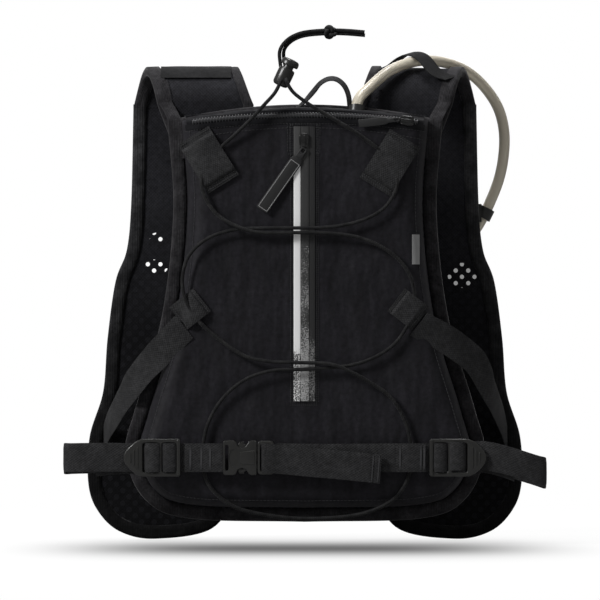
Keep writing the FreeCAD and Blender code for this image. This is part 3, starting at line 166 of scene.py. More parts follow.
def smooth(obj: bpy.types.Object, angle: float = 40.0) -> None:
    """Shades an object smooth except across sharp edges.

    Args:
        obj: the mesh object.
        angle: degrees above which an edge stays sharp.
    """
    make_active(obj)
    bpy.ops.object.shade_smooth_by_angle(angle=math.radians(angle))


def mesh_object(name: str, points: Sequence[Vector], faces: Sequence[Sequence[int]],
                uvs: Sequence[Flat] | None = None) -> bpy.types.Object:
    """A mesh object from points and faces.

    Args:
        name: the piece's name.
        points: vertices in metres.
        faces: vertex indices of each face.
        uvs: one flat coordinate in metres for each vertex, where a pattern follows the surface.

    Returns:
        The new object, linked to the scene, with its faces pointing outwards.
    """
    mesh = bpy.data.meshes.new(name)
    mesh.from_pydata([tuple(p) for p in points], [], [tuple(f) for f in faces])
    if uvs is not None:
        layer = mesh.uv_layers.new(name="UVMap")
        for loop in mesh.loops:
            layer.data[loop.index].uv = uvs[loop.vertex_index]
    mesh.validate()
    obj = bpy.data.objects.new(name, mesh)
    bpy.context.collection.objects.link(obj)
    work = bmesh.new()
    work.from_mesh(mesh)
    bmesh.ops.recalc_face_normals(work, faces=work.faces)
    work.to_mesh(mesh)
    work.free()
    return obj


def join(name: str, objects: Sequence[bpy.types.Object]) -> bpy.types.Object:
    """Joins mesh objects into the first one and renames it."""
    make_active(objects[0])
    for obj in objects[1:]:
        obj.select_set(True)
    bpy.ops.object.join()
    objects[0].name = name
    return objects[0]


def dress(obj: bpy.types.Object, body: str, material: bpy.types.Material,
          nodes: Iterable[str] = ()) -> bpy.types.Object:
    """Gives a finished piece its material, the body it rides on and the nodes it stands for.

    Args:
        obj: the finished piece.
        body: the body it moves with.
        material: its finish.
        nodes: the CAD nodes that it replaces.

    Returns:
        The same object.
    """
    obj.data.materials.clear()
    obj.data.materials.append(material)
    if body:
        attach(obj, body)
    nodes = tuple(nodes)
    if nodes:
        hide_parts(*nodes)
    LOG.info("%s: %d faces on %s", obj.name, len(getattr(obj.data, "polygons", ())), body or "a blend")
    return obj


def paint_node(node: str, material: bpy.types.Material) -> None:
    """Gives a CAD node that keeps its own shape a finished material."""
    obj = frame["nodes"][node]
    obj.data.materials.clear()
    obj.data.materials.append(material)


# -----------------------------------------------------------------------------
# Curves worked out from a few points
# -----------------------------------------------------------------------------
def through(points: Sequence[Vector], steps: int) -> list[Vector]:
    """A smooth run through all the points (Catmull-Rom).

    Args:
        points: the places to pass through, in order.
        steps: how many points to make from each place to the next.

    Returns:
        The run's points, from the first place to the last.
    """
    result: list[Vector] = []
    for i in range(len(points) - 1):
        p1, p2 = points[i], points[i + 1]
        p0 = points[i - 1] if i else p1 * 2 - p2
        p3 = points[i + 2] if i + 2 < len(points) else p2 * 2 - p1
        for k in range(steps):
            t = k / steps
            a = p1 * 2
            b = (p2 - p0) * t
            c = (p0 * 2 - p1 * 5 + p2 * 4 - p3) * t * t
            d = (p1 * 3 - p0 - p2 * 3 + p3) * t ** 3
            result.append((a + b + c + d) * 0.5)
    result.append(points[-1].copy())
    return result


def evenly(points: Sequence[Vector], spacing: float, closed: bool = False) -> list[Vector]:
    """Points a fixed distance apart along a polyline.

    Args:
        points: the polyline.
        spacing: the wanted distance, which is rounded so that it fits a whole number of times.
        closed: whether the last point leads back to the first.

    Returns:
        The evenly spaced points.
    """
    line = list(points) + ([points[0]] if closed else [])
    lengths = [(b - a).length for a, b in zip(line, line[1:])]
    total = sum(lengths)
    count = max(2, round(total / spacing))
    result, i, done = [], 0, 0.0
    for k in range(count + (0 if closed else 1)):
        target = min(total * k / count, total - 1e-9)
        while done + lengths[i] < target:
            done += lengths[i]
            i += 1
        result.append(line[i].lerp(line[i + 1], (target - done) / max(lengths[i], 1e-12)))
    return result


def cord_curve(name: str, points: Sequence[Vector], radius: float) -> bpy.types.Object:
    """A cord as a NURBS curve with the route's points as its control points.

    Args:
        name: the cord's name.
        points: the control points in metres.
        radius: half its thickness.

    Returns:
        The curve object, which passes near its points and ends on the first and last.
    """
    curve = bpy.data.curves.new(name, "CURVE")
    curve.dimensions = "3D"
    curve.resolution_u = 8
    curve.bevel_depth = radius
    curve.bevel_resolution = 4
    curve.use_fill_caps = True
    spline = curve.splines.new("NURBS")
    spline.points.add(len(points) - 1)
    for point, place in zip(spline.points, points):
        point.co = (*place, 1.0)
    spline.order_u = 3
    spline.use_endpoint_u = True
    obj = bpy.data.objects.new(name, curve)
    bpy.context.collection.objects.link(obj)
    return obj


# -----------------------------------------------------------------------------
# Finishes
# -----------------------------------------------------------------------------
def tone(red: float, green: float, blue: float) -> tuple[float, float, float, float]:
    """A colour given as screen values from 0 to 255, made linear."""
    def linear(value: float) -> float:
        """One channel, by the usual screen curve."""
        share = value / 255
        return share / 12.92 if share <= 0.04045 else ((share + 0.055) / 1.055) ** 2.4
    return (linear(red), linear(green), linear(blue), 1.0)


class Grid:
    """Adds nodes to a tree with short calls."""

    def __init__(self, tree: bpy.types.NodeTree) -> None:
        """Keeps the tree that nodes are added to."""
        self.tree = tree

    def node(self, kind: str, **values: object) -> bpy.types.Node:
        """A new node; values set its own properties."""
        made = self.tree.nodes.new(kind)
        for name, value in values.items():
            setattr(made, name, value)
        return made

    def feed(self, socket: bpy.types.NodeSocket, value: object) -> None:
        """Links an output to a socket, or sets the socket to a constant."""
        if isinstance(value, bpy.types.NodeSocket):
            self.tree.links.new(value, socket)
        elif value is not None:
            socket.default_value = value

    def math(self, operation: str, a: object, b: object = None, c: object = None) -> bpy.types.NodeSocket:
        """A Math node's result."""
        made = self.node("ShaderNodeMath", operation=operation)
        for socket, value in zip(made.inputs, (a, b, c)):
            self.feed(socket, value)
        return made.outputs[0]

    def noise(self, vector: object, scale: float, detail: float = 2.0,
              rough: float = 0.5) -> bpy.types.NodeSocket:
        """A Noise Texture's value."""
        made = self.node("ShaderNodeTexNoise")
        self.feed(made.inputs["Vector"], vector)
        made.inputs["Scale"].default_value = scale
        made.inputs["Detail"].default_value = detail
        made.inputs["Roughness"].default_value = rough
        return made.outputs[0]

    def span(self, value: object, low: float, high: float, to_low: float,
             to_high: float) -> bpy.types.NodeSocket:
        """A value carried from one range to another, held inside it."""
        made = self.node("ShaderNodeMapRange")
        for name, number in (("From Min", low), ("From Max", high), ("To Min", to_low), ("To Max", to_high)):
            made.inputs[name].default_value = number
        self.feed(made.inputs["Value"], value)
        return made.outputs["Result"]

    def parts(self, vector: object) -> Sequence[bpy.types.NodeSocket]:
        """The X, Y and Z of a vector."""
        made = self.node("ShaderNodeSeparateXYZ")
        self.feed(made.inputs[0], vector)
        return made.outputs

    def blend(self, share: object, a: object, b: object) -> bpy.types.NodeSocket:
        """Two colours mixed by a share."""
        made = self.node("ShaderNodeMix", data_type="RGBA")
        self.feed(made.inputs["Factor"], share)
        self.feed(made.inputs[6], a)
        self.feed(made.inputs[7], b)
        return made.outputs[2]


GroupParts = tuple[bpy.types.NodeTree, Grid, bpy.types.Node, bpy.types.Node]


def node_group(name: str, inputs: Sequence[tuple[str, str, object]],
               outputs: Sequence[tuple[str, str]]) -> GroupParts:
    """An empty shader node group with named sockets.

    Args:
        name: the group's name.
        inputs: (name, socket type, default) for each input.
        outputs: (name, socket type) for each output.

    Returns:
        The group, a Grid on it, and its input and output nodes.
    """
    group = bpy.data.node_groups.new(name, "ShaderNodeTree")
    for label, kind, value in inputs:
        socket = group.interface.new_socket(name=label, in_out="INPUT", socket_type=kind)
        if value is not None:
            socket.default_value = value
    for label, kind in outputs:
        group.interface.new_socket(name=label, in_out="OUTPUT", socket_type=kind)
    grid = Grid(group)
    return group, grid, grid.node("NodeGroupInput"), grid.node("NodeGroupOutput")


VECTOR, FLOAT, COLOUR = "NodeSocketVector", "NodeSocketFloat", "NodeSocketColor"


def make_weave_group() -> bpy.types.NodeTree:
    """Crossing threads: a plain or ribbed weave as a height from 0 to 1."""
    group, grid, entry, exit_ = node_group(
        "woven_threads",
        [("Vector", VECTOR, None), ("Warp", FLOAT, 1200.0), ("Weft", FLOAT, 1200.0), ("Rib", FLOAT, 0.0)],
        [("Height", FLOAT)],
    )
    parts = grid.parts(entry.outputs["Vector"])
    across = grid.math("MULTIPLY", parts[0], entry.outputs["Warp"])
    along = grid.math("MULTIPLY", parts[1], entry.outputs["Weft"])
    warp = grid.math("SINE", grid.math("MULTIPLY", across, math.pi))
    weft = grid.math("SINE", grid.math("MULTIPLY", along, math.pi))
    plain = grid.math("MULTIPLY_ADD", grid.math("MULTIPLY", warp, weft), 0.5, 0.5)
    ribs = grid.math("ABSOLUTE", weft)
    mixed = grid.node("ShaderNodeMix", data_type="FLOAT")
    grid.feed(mixed.inputs["Factor"], entry.outputs["Rib"])
    grid.feed(mixed.inputs[2], plain)
    grid.feed(mixed.inputs[3], ribs)
    grid.feed(exit_.inputs["Height"], mixed.outputs[0])
    return group


def make_variation_group() -> bpy.types.NodeTree:
    """Uneven dye and use: a colour with soft clouds and fine specks of lint."""
    group, grid, entry, exit_ = node_group(
        "dye_and_lint",
        [("Vector", VECTOR, None), ("Colour", COLOUR, (0.1, 0.1, 0.1, 1)),
         ("Worn", COLOUR, (0.2, 0.2, 0.2, 1)), ("Clouds", FLOAT, 30.0), ("Lint", FLOAT, 0.2)],
        [("Colour", COLOUR), ("Mask", FLOAT)],
    )
    cloud = grid.node("ShaderNodeTexNoise")
    grid.feed(cloud.inputs["Vector"], entry.outputs["Vector"])
    grid.feed(cloud.inputs["Scale"], entry.outputs["Clouds"])
    cloud.inputs["Detail"].default_value = 4.0
    soft = grid.span(cloud.outputs[0], 0.35, 0.75, 0.0, 0.6)
    fine = grid.noise(entry.outputs["Vector"], 1900.0, 2.0, 0.7)
    specks = grid.math("MULTIPLY", grid.span(fine, 0.6, 0.72, 0.0, 1.0), entry.outputs["Lint"])
    mask = grid.math("MINIMUM", grid.math("ADD", soft, specks), 1.0)
    grid.feed(exit_.inputs["Colour"], grid.blend(mask, entry.outputs["Colour"], entry.outputs["Worn"]))
    grid.feed(exit_.inputs["Mask"], mask)
    return group


def make_perforation_group() -> bpy.types.NodeTree:
    """Round holes in staggered rows over a flat pattern: 1 inside a hole, 0 outside."""
    group, grid, entry, exit_ = node_group(
        "staggered_holes",
        [("Vector", VECTOR, None), ("Pitch", FLOAT, 0.008), ("Radius", FLOAT, 0.0024),
         ("Uneven", FLOAT, 0.3)],
        [("Hole", FLOAT), ("Rim", FLOAT)],
    )
    jitter = grid.node("ShaderNodeTexNoise")
    grid.feed(jitter.inputs["Vector"], entry.outputs["Vector"])
    jitter.inputs["Scale"].default_value = 90.0
    turned = grid.node("ShaderNodeVectorRotate", rotation_type="Z_AXIS")
    grid.feed(turned.inputs["Vector"], entry.outputs["Vector"])
    turned.inputs["Angle"].default_value = math.pi / 4
    parts = grid.parts(turned.outputs[0])
    squares = []
    for i in range(2):
        cell = grid.math("DIVIDE", parts[i], entry.outputs["Pitch"])
        squares.append(grid.math("POWER", grid.math("SUBTRACT", grid.math("FRACT", cell), 0.5), 2.0))
    reach = grid.math("MULTIPLY", grid.math("SQRT", grid.math("ADD", *squares)), entry.outputs["Pitch"])
    shift = grid.math("SUBTRACT", jitter.outputs[0], 0.5)
    size = grid.math("MULTIPLY_ADD", shift, entry.outputs["Uneven"], 1.0)
    radius = grid.math("MULTIPLY", entry.outputs["Radius"], size)
    grid.feed(exit_.inputs["Hole"], grid.math("LESS_THAN", reach, radius))
    rim = grid.math("LESS_THAN", reach, grid.math("MULTIPLY", radius, 1.22))
    grid.feed(exit_.inputs["Rim"], rim)
    return group


def make_scuff_group() -> bpy.types.NodeTree:
    """Moulded or polished surface: fine grain as a height, and scuffs that lighten it."""
    group, grid, entry, exit_ = node_group(
        "grain_and_scuffs",
        [("Vector", VECTOR, None), ("Grain", FLOAT, 2500.0), ("Scuffs", FLOAT, 0.3)],
        [("Height", FLOAT), ("Scuff", FLOAT)],
    )
    grain = grid.node("ShaderNodeTexNoise")
    grid.feed(grain.inputs["Vector"], entry.outputs["Vector"])
    grid.feed(grain.inputs["Scale"], entry.outputs["Grain"])
    stretch = grid.node("ShaderNodeMapping")
    grid.feed(stretch.inputs["Vector"], entry.outputs["Vector"])
    stretch.inputs["Scale"].default_value = (1.0, 1.0, 6.0)
    lines = grid.noise(stretch.outputs[0], 420.0, 5.0, 0.8)
    grid.feed(exit_.inputs["Height"], grain.outputs[0])
    scuff = grid.math("MULTIPLY", grid.span(lines, 0.58, 0.75, 0.0, 1.0), entry.outputs["Scuffs"])
    grid.feed(exit_.inputs["Scuff"], scuff)
    return group


class Groups:
    """The node groups that several finishes share."""

    weave = make_weave_group()
    variation = make_variation_group()
    perforation = make_perforation_group()
    scuffs = make_scuff_group()


class Pattern(Enum):
    """What a cloth's pattern follows."""

    SURFACE = "the piece's own UV map"
    FRONT = "height and breadth, as cut from the roll"
    ROUND = "all three directions"


class FinishBase:
    """What every finish shares: a material with a Principled shader, and the pattern's coordinates."""

    def start(self, name: str) -> tuple[bpy.types.Material, Grid, bpy.types.Node]:
        """An empty material with its shader."""
        material = bpy.data.materials.new(name)
        material.use_nodes = True
        material.node_tree.nodes.clear()
        grid = Grid(material.node_tree)
        shader = grid.node("ShaderNodeBsdfPrincipled")
        out = grid.node("ShaderNodeOutputMaterial")
        grid.feed(out.inputs["Surface"], shader.outputs[0])
        return material, grid, shader

    def place(self, grid: Grid, pattern: Pattern) -> bpy.types.NodeSocket:
        """The coordinates that a pattern is drawn on, in metres."""
        if pattern is Pattern.SURFACE:
            return grid.node("ShaderNodeUVMap", uv_map="UVMap").outputs[0]
        spot = grid.node("ShaderNodeTexCoord").outputs["Object"]
        if pattern is Pattern.ROUND:
            return spot
        parts, flat = grid.parts(spot), grid.node("ShaderNodeCombineXYZ")
        grid.feed(flat.inputs[0], parts[0])
        grid.feed(flat.inputs[1], parts[2])
        return flat.outputs[0]

    def use(self, grid: Grid, group: bpy.types.NodeTree, **values: object) -> bpy.types.Node:
        """A shared group placed in the material with its own values."""
        made = grid.node("ShaderNodeGroup", node_tree=group)
        for name, value in values.items():
            grid.feed(made.inputs[name], value)
        return made

    def bump(self, grid: Grid, shader: bpy.types.Node, height: object, depth: float, strength: float = 1.0,
             under: object = None) -> bpy.types.NodeSocket:
        """A Bump node on the shader's normal."""
        made = grid.node("ShaderNodeBump")
        made.inputs["Strength"].default_value = strength
        made.inputs["Distance"].default_value = depth
        grid.feed(made.inputs["Height"], height)
        if under is not None:
            grid.feed(made.inputs["Normal"], under)
        grid.feed(shader.inputs["Normal"], made.outputs[0])
        return made.outputs[0]


@dataclass(frozen=True)
class Cloth(FinishBase):
    """A woven or knitted cloth: its dye, thread count, wrinkles and nap, with painted shade in its weave's
    hollows, in small folds and by height.
    """

    name: str
    colour: tuple[float, float, float]
    worn: tuple[float, float, float]
    pattern: Pattern = Pattern.SURFACE
    warp: float = 1300.0
    weft: float = 1300.0
    rib: float = 0.0
    depth: float = 0.00012
    crease: float = 0.0
    crease_scale: float = 40.0
    rough: float = 0.85
    sheen: float = 0.12
    clouds: float = 30.0
    lint: float = 0.2
    slub: float = 260.0
    gloss: float = 0.1
    dots: float = 0.6
    # Depth of the painted shade of small folds in the colour.
    painted_fold_shade: float = 0.0
    # Painted light and shade by height: (low z, high z, factor low, factor high) on the colour, darker
    # towards the bottom and lighter towards the top.
    painted_height_shade: tuple[float, float, float, float] | None = None
    holes: tuple[float, float] | None = None
    see_through: tuple[tuple[float, float, float, float, float], ...] = ()

    def build(self) -> bpy.types.Material:
        """The finished cloth material."""
        material, grid, shader = self.start(self.name)
        place = self.place(grid, self.pattern)
        dye = self.use(grid, Groups.variation, Vector=place, Colour=tone(*self.colour), Worn=tone(*self.worn),
                       Clouds=self.clouds, Lint=self.lint)
        weave = self.use(grid, Groups.weave, Vector=place, Warp=self.warp, Weft=self.weft, Rib=self.rib)
        colour, height, under = dye.outputs["Colour"], weave.outputs["Height"], None
        slubs = grid.noise(place, self.slub, 4.0, 0.7)
        # Painted shade: the weave's hollows are darker than its crossings; the slubs are uneven yarn.
        shade = grid.math("MULTIPLY", grid.span(height, 0.0, 1.0, 0.72, 1.12),
                          grid.span(slubs, 0.3, 0.7, 0.6, 1.4))
        # Painted shade of small folds: waves along the cloth darken and lighten the colour.
        if self.painted_fold_shade:
            shade = grid.math("MULTIPLY", shade, self.fold_shade_waves(grid, place))
        # Painted light and shade by height: the colour darker low down and lighter high up.
        if self.painted_height_shade:
            parts = grid.parts(grid.node("ShaderNodeTexCoord").outputs["Object"])
            shade = grid.math("MULTIPLY", shade, grid.span(parts[2], *self.painted_height_shade))
        tinted = grid.node("ShaderNodeVectorMath", operation="SCALE")
        grid.feed(tinted.inputs[0], colour)
        grid.feed(tinted.inputs["Scale"], shade)
        colour = tinted.outputs[0]
        if self.crease:
            stretch = grid.node("ShaderNodeMapping")
            grid.feed(stretch.inputs["Vector"], place)
            stretch.inputs["Scale"].default_value = (1.0, 0.55, 1.0)
            stretch.inputs["Rotation"].default_value = (0.0, 0.0, 0.5)
            folds = grid.noise(stretch.outputs[0], self.crease_scale, 3.0, 0.55)
            under = self.bump(grid, shader, folds, self.crease)
        if self.holes:
            flat = self.place(grid, Pattern.FRONT)
            punched = self.use(grid, Groups.perforation, Vector=flat, Pitch=self.holes[0],
                               Radius=self.holes[1])
            rim = grid.math("MULTIPLY", punched.outputs["Rim"], self.dots)
            colour = grid.blend(rim, colour, tone(*(c * 1.45 for c in self.worn)))
            height = grid.math("SUBTRACT", height, grid.math("MULTIPLY", punched.outputs["Rim"], 2.0))
            if self.see_through:
                self.open_holes(grid, shader, flat, punched)
        self.bump(grid, shader, height, self.depth, 1.0, under)
        grid.feed(shader.inputs["Base Color"], colour)
        grid.feed(shader.inputs["Roughness"],
                  grid.span(dye.outputs["Mask"], 0.0, 1.0, self.rough, self.rough - 0.08))
        shader.inputs["Sheen Weight"].default_value = self.sheen
        shader.inputs["Sheen Roughness"].default_value = 0.4
        shader.inputs["Specular IOR Level"].default_value = self.gloss
        return material

    def fold_shade_waves(self, grid: Grid, place: bpy.types.NodeSocket) -> bpy.types.NodeSocket:
        """Painted shade of many small folds: a wavy darkening and lightening of the colour along the cloth's
        length.
        """
        run = grid.node("ShaderNodeMapping")
        grid.feed(run.inputs["Vector"], place)
        run.inputs["Scale"].default_value = (1.0, 0.22, 1.0)
        run.inputs["Rotation"].default_value = (0.0, 0.0, 0.22)
        waves = grid.noise(run.outputs[0], 120.0, 2.0, 0.55)
        return grid.span(waves, 0.34, 0.66, 1.0 - self.painted_fold_shade, 1.0 + self.painted_fold_shade)

    def open_holes(self, grid: Grid, shader: bpy.types.Node, flat: bpy.types.NodeSocket,
                   punched: bpy.types.Node) -> None:
        """Lets light through the holes near given places: (x, z, half width, half height, how open) each."""
        parts = grid.parts(flat)
        near: object = 0.0
        for x, z, wide, tall, share in self.see_through:
            dx = grid.math("DIVIDE", grid.math("SUBTRACT", parts[0], x), wide)
            dz = grid.math("DIVIDE", grid.math("SUBTRACT", parts[1], z), tall)
            reach = grid.math("ADD", grid.math("POWER", dx, 2.0), grid.math("POWER", dz, 2.0))
            near = grid.math("MAXIMUM", near,
                             grid.math("MULTIPLY", grid.math("LESS_THAN", reach, 1.0), share))
        shut = grid.math("SUBTRACT", 1.0, grid.math("MULTIPLY", near, punched.outputs["Hole"]))
        grid.feed(shader.inputs["Alpha"], shut)


@dataclass(frozen=True)
class Moulded(FinishBase):
    """Moulded plastic, rubber or metal: its colour, gloss, grain and scuffs."""

    name: str
    colour: tuple[float, float, float]
    worn: tuple[float, float, float]
    rough: float = 0.42
    grain: float = 2500.0
    depth: float = 0.00003
    scuffs: float = 0.25
    metallic: float = 0.0
    transmission: float = 0.0
    coat: float = 0.0

    def build(self) -> bpy.types.Material:
        """The finished moulded material."""
        material, grid, shader = self.start(self.name)
        place = self.place(grid, Pattern.ROUND)
        marks = self.use(grid, Groups.scuffs, Vector=place, Grain=self.grain, Scuffs=self.scuffs)
        colour = grid.blend(marks.outputs["Scuff"], tone(*self.colour), tone(*self.worn))
        grid.feed(shader.inputs["Base Color"], colour)
        rough = grid.span(marks.outputs["Scuff"], 0.0, 0.4, self.rough, min(self.rough + 0.15, 0.95))
        grid.feed(shader.inputs["Roughness"], rough)
        self.bump(grid, shader, marks.outputs["Height"], self.depth)
        shader.inputs["Metallic"].default_value = self.metallic
        shader.inputs["Transmission Weight"].default_value = self.transmission
        shader.inputs["Coat Weight"].default_value = self.coat
        shader.inputs["IOR"].default_value = 1.46
        return material


@dataclass(frozen=True)
class PaintedReflection(FinishBase):
    """A glossy coated lip with a painted reflection: a light colour painted in patches and specks over its
    own dark colour, only between given heights.
    """

    name: str
    # colour is the painted reflection and bare is the lip's own colour; the level below them sets how much of
    # the lip the painted reflection covers.
    colour: tuple[float, float, float]
    bare: tuple[float, float, float]
    highlight_cut: float
    # above and below: heights (from, to, amount) past which the painted reflection gives way to the lip's own
    # colour.
    above: tuple[float, float, float] = (0.5, 0.6, 0.0)
    below: tuple[float, float, float] = (0.0, 0.1, 0.0)

    def build(self) -> bpy.types.Material:
        """The finished material with its painted reflection."""
        material, grid, shader = self.start(self.name)
        place = self.place(grid, Pattern.ROUND)
        parts = grid.parts(place)
        patches, specks = grid.noise(place, 55.0, 3.0, 0.6), grid.noise(place, 850.0, 3.0, 0.85)
        mix = grid.math("MULTIPLY_ADD", patches, 0.45, grid.math("MULTIPLY", specks, 1.25))
        low, high, more = self.above
        mix = grid.math("SUBTRACT", mix, grid.span(parts[2], low, high, 0.0, more))
        low, high, more = self.below
        mix = grid.math("SUBTRACT", mix, grid.span(parts[2], low, high, more, 0.0))
        # Below the cut level no reflection is painted and the lip's own colour shows; above it the painted
        # reflection shows, less rough.
        no_highlight = grid.span(mix, self.highlight_cut, self.highlight_cut + 0.1, 1.0, 0.0)
        grid.feed(shader.inputs["Base Color"], grid.blend(no_highlight, tone(*self.colour), tone(*self.bare)))
        grid.feed(shader.inputs["Roughness"], grid.span(no_highlight, 0.0, 1.0, 0.35, 0.7))
        self.bump(grid, shader, specks, 0.00008)
        return material


class Finishes:
    """Every finish of the pack, built once."""

    # The shell carries painted shade of small folds.
    shell = Cloth("shell_nylon", (25, 24, 28), (37, 36, 41), Pattern.FRONT, 1500, 1500, depth=0.00007,
                  crease=0.0045, crease_scale=30, rough=0.62, gloss=0.16, painted_fold_shade=0.26, sheen=0.03, clouds=9,
                  lint=0.12).build()
    back = Cloth("spacer_mesh", (20, 20, 23), (38, 38, 42), Pattern.FRONT, 420, 420, depth=0.0004, rough=0.9,
                 clouds=14, lint=0.1, holes=(0.0042, 0.0011), sheen=0.03).build()
    # The harness mesh has painted light and shade by height: darker towards the bottom, lighter towards the
    # top.
    harness = Cloth("perforated_mesh", (15, 15, 17), (30, 30, 33), Pattern.FRONT, 700, 700, depth=0.00018,
                    crease=0.002, crease_scale=28, rough=0.88, clouds=12, lint=0.1, holes=(0.0079, 0.0019),
                    sheen=0.03, dots=0.22, painted_height_shade=(0.12, 0.33, 0.6, 2.5), see_through=(
                        (-0.131, 0.269, 0.007, 0.005, 1.0), (-0.133, 0.243, 0.011, 0.007, 1.0),
                        (0.14, 0.236, 0.013, 0.011, 0.5), (0.064, 0.395, 0.007, 0.005, 0.9))).build()
    pocket = Cloth("stretch_mesh", (14, 14, 17), (30, 30, 34), Pattern.FRONT, 520, 520, depth=0.0003,
                   crease=0.001, rough=0.9, clouds=12, sheen=0.03, holes=(0.0034, 0.0008)).build()
    binding = Cloth("brushed_binding", (34, 33, 35), (64, 63, 65), Pattern.ROUND, 900, 900, depth=0.00015,
                    crease=0.0011, crease_scale=120, rough=0.95, sheen=0.12, clouds=70, lint=0.5,
                    slub=420).build()
    # The front edge tape has painted light and shade by height: darker towards the bottom, lighter towards
    # the top.
    edge = Cloth("front_edge_tape", (22, 22, 23), (44, 44, 45), Pattern.ROUND, 900, 900, depth=0.00015,
                 painted_height_shade=(0.08, 0.34, 0.5, 2.6), crease=0.0011, crease_scale=120, rough=0.95, sheen=0.05,
                 clouds=70, lint=0.3, slub=420).build()
    webbing = Cloth("webbing", (40, 40, 41), (62, 62, 63), Pattern.SURFACE, 900, 620, depth=0.00022,
                    rough=0.72, sheen=0.04, clouds=40, lint=0.12).build()
    ribbed = Cloth("ribbed_elastic", (26, 26, 27), (46, 46, 47), Pattern.SURFACE, 500, 900, rib=0.85,
                   depth=0.0003, rough=0.8, sheen=0.04, clouds=50).build()
    tape = Cloth("zip_tape", (20, 20, 23), (38, 38, 40), Pattern.FRONT, 1500, 1700, depth=0.0001, rough=0.85,
                 sheen=0.04, clouds=50).build()
    cord = Cloth("braided_cord", (28, 28, 29), (50, 50, 50), Pattern.ROUND, 1150, 1150, depth=0.00022,
                 rough=0.75, sheen=0.06, clouds=120, lint=0.25).build()
    thread = Moulded("sewing_thread", (52, 52, 54), (78, 78, 80), 0.8, 5000, 0.00002, 0.2).build()
    pull = Moulded("pull_tab_rubber", (24, 24, 25), (40, 40, 40), 0.62, 1500, 0.00005, 0.2).build()
    pull_edge = Moulded("pull_tab_edge", (150, 150, 150), (190, 190, 190), 0.6, 1500, 0.00003, 0.2).build()
    plastic = Moulded("buckle_plastic", (36, 36, 35), (78, 78, 74), 0.3, 3200, 0.00003, 0.3).build()
    coil = Moulded("zip_coil", (66, 66, 68), (104, 104, 106), 0.4, 3000, 0.00002, 0.3).build()
    metal = Moulded("black_nickel", (70, 70, 70), (150, 150, 148), 0.18, 2600, 0.00002, 0.4,
                    metallic=0.9).build()
    steel = Moulded("spring_steel", (150, 150, 150), (190, 190, 190), 0.25, 2600, 0.00001, 0.2,
                    metallic=1.0).build()
    hose = Moulded("drink_hose", (214, 206, 188), (196, 186, 164), 0.3, 900, 0.00002, 0.25, transmission=0.25,
                   coat=0.2).build()
    film = Moulded("reservoir_film", (150, 185, 205), (175, 205, 220), 0.2, 700, 0.00004, 0.2,
                   transmission=0.5).build()
    valve = Moulded("valve_plastic", (48, 48, 50), (84, 84, 86), 0.4, 3000, 0.00003, 0.25).build()
    rubber = Moulded("bite_silicone", (70, 120, 165), (100, 150, 190), 0.45, 2000, 0.00003, 0.2).build()
    # Painted reflections of the centre zip's glossy coated lips, each only between given heights: strong on
    # the left lip, in specks on the middle one and faint on the right one.
    bright = PaintedReflection("left_lip_painted_reflection", (236, 236, 236), (60, 60, 60), 0.42, above=(0.326, 0.336, 0.9),
                        below=(0.165, 0.178, 0.42)).build()
    painted_sparkle_lip = PaintedReflection("middle_lip_painted_sparkle", (165, 165, 165), (44, 44, 44), 0.76,
                         above=(0.16, 0.3, 0.34)).build()
    painted_sheen_lip = PaintedReflection("right_lip_painted_sheen", (130, 130, 130), (24, 24, 25), 0.84, above=(0.17, 0.215, 0.6)).build()
    label = Moulded("label_cloth", (132, 132, 132), (165, 165, 165), 0.8, 2200, 0.00008, 0.5).build()


# -----------------------------------------------------------------------------
# Studio
# -----------------------------------------------------------------------------
@dataclass(frozen=True)
class Lamp:
    """A soft box: its place, the point that it faces, its size in metres and its power in watts."""

    name: str
    place: tuple[float, float, float]
    aim: tuple[float, float, float]
    size: float
    power: float

    def build(self) -> bpy.types.Object:
        """The area light."""
        data = bpy.data.lights.new(self.name, "AREA")
        data.shape = "DISK"
        data.size = self.size
        data.energy = self.power
        lamp = bpy.data.objects.new(self.name, data)
        bpy.context.collection.objects.link(lamp)
        lamp.location = self.place
        lamp.rotation_euler = (Vector(self.aim) - Vector(self.place)).to_track_quat("-Z", "Y").to_euler()
        return lamp


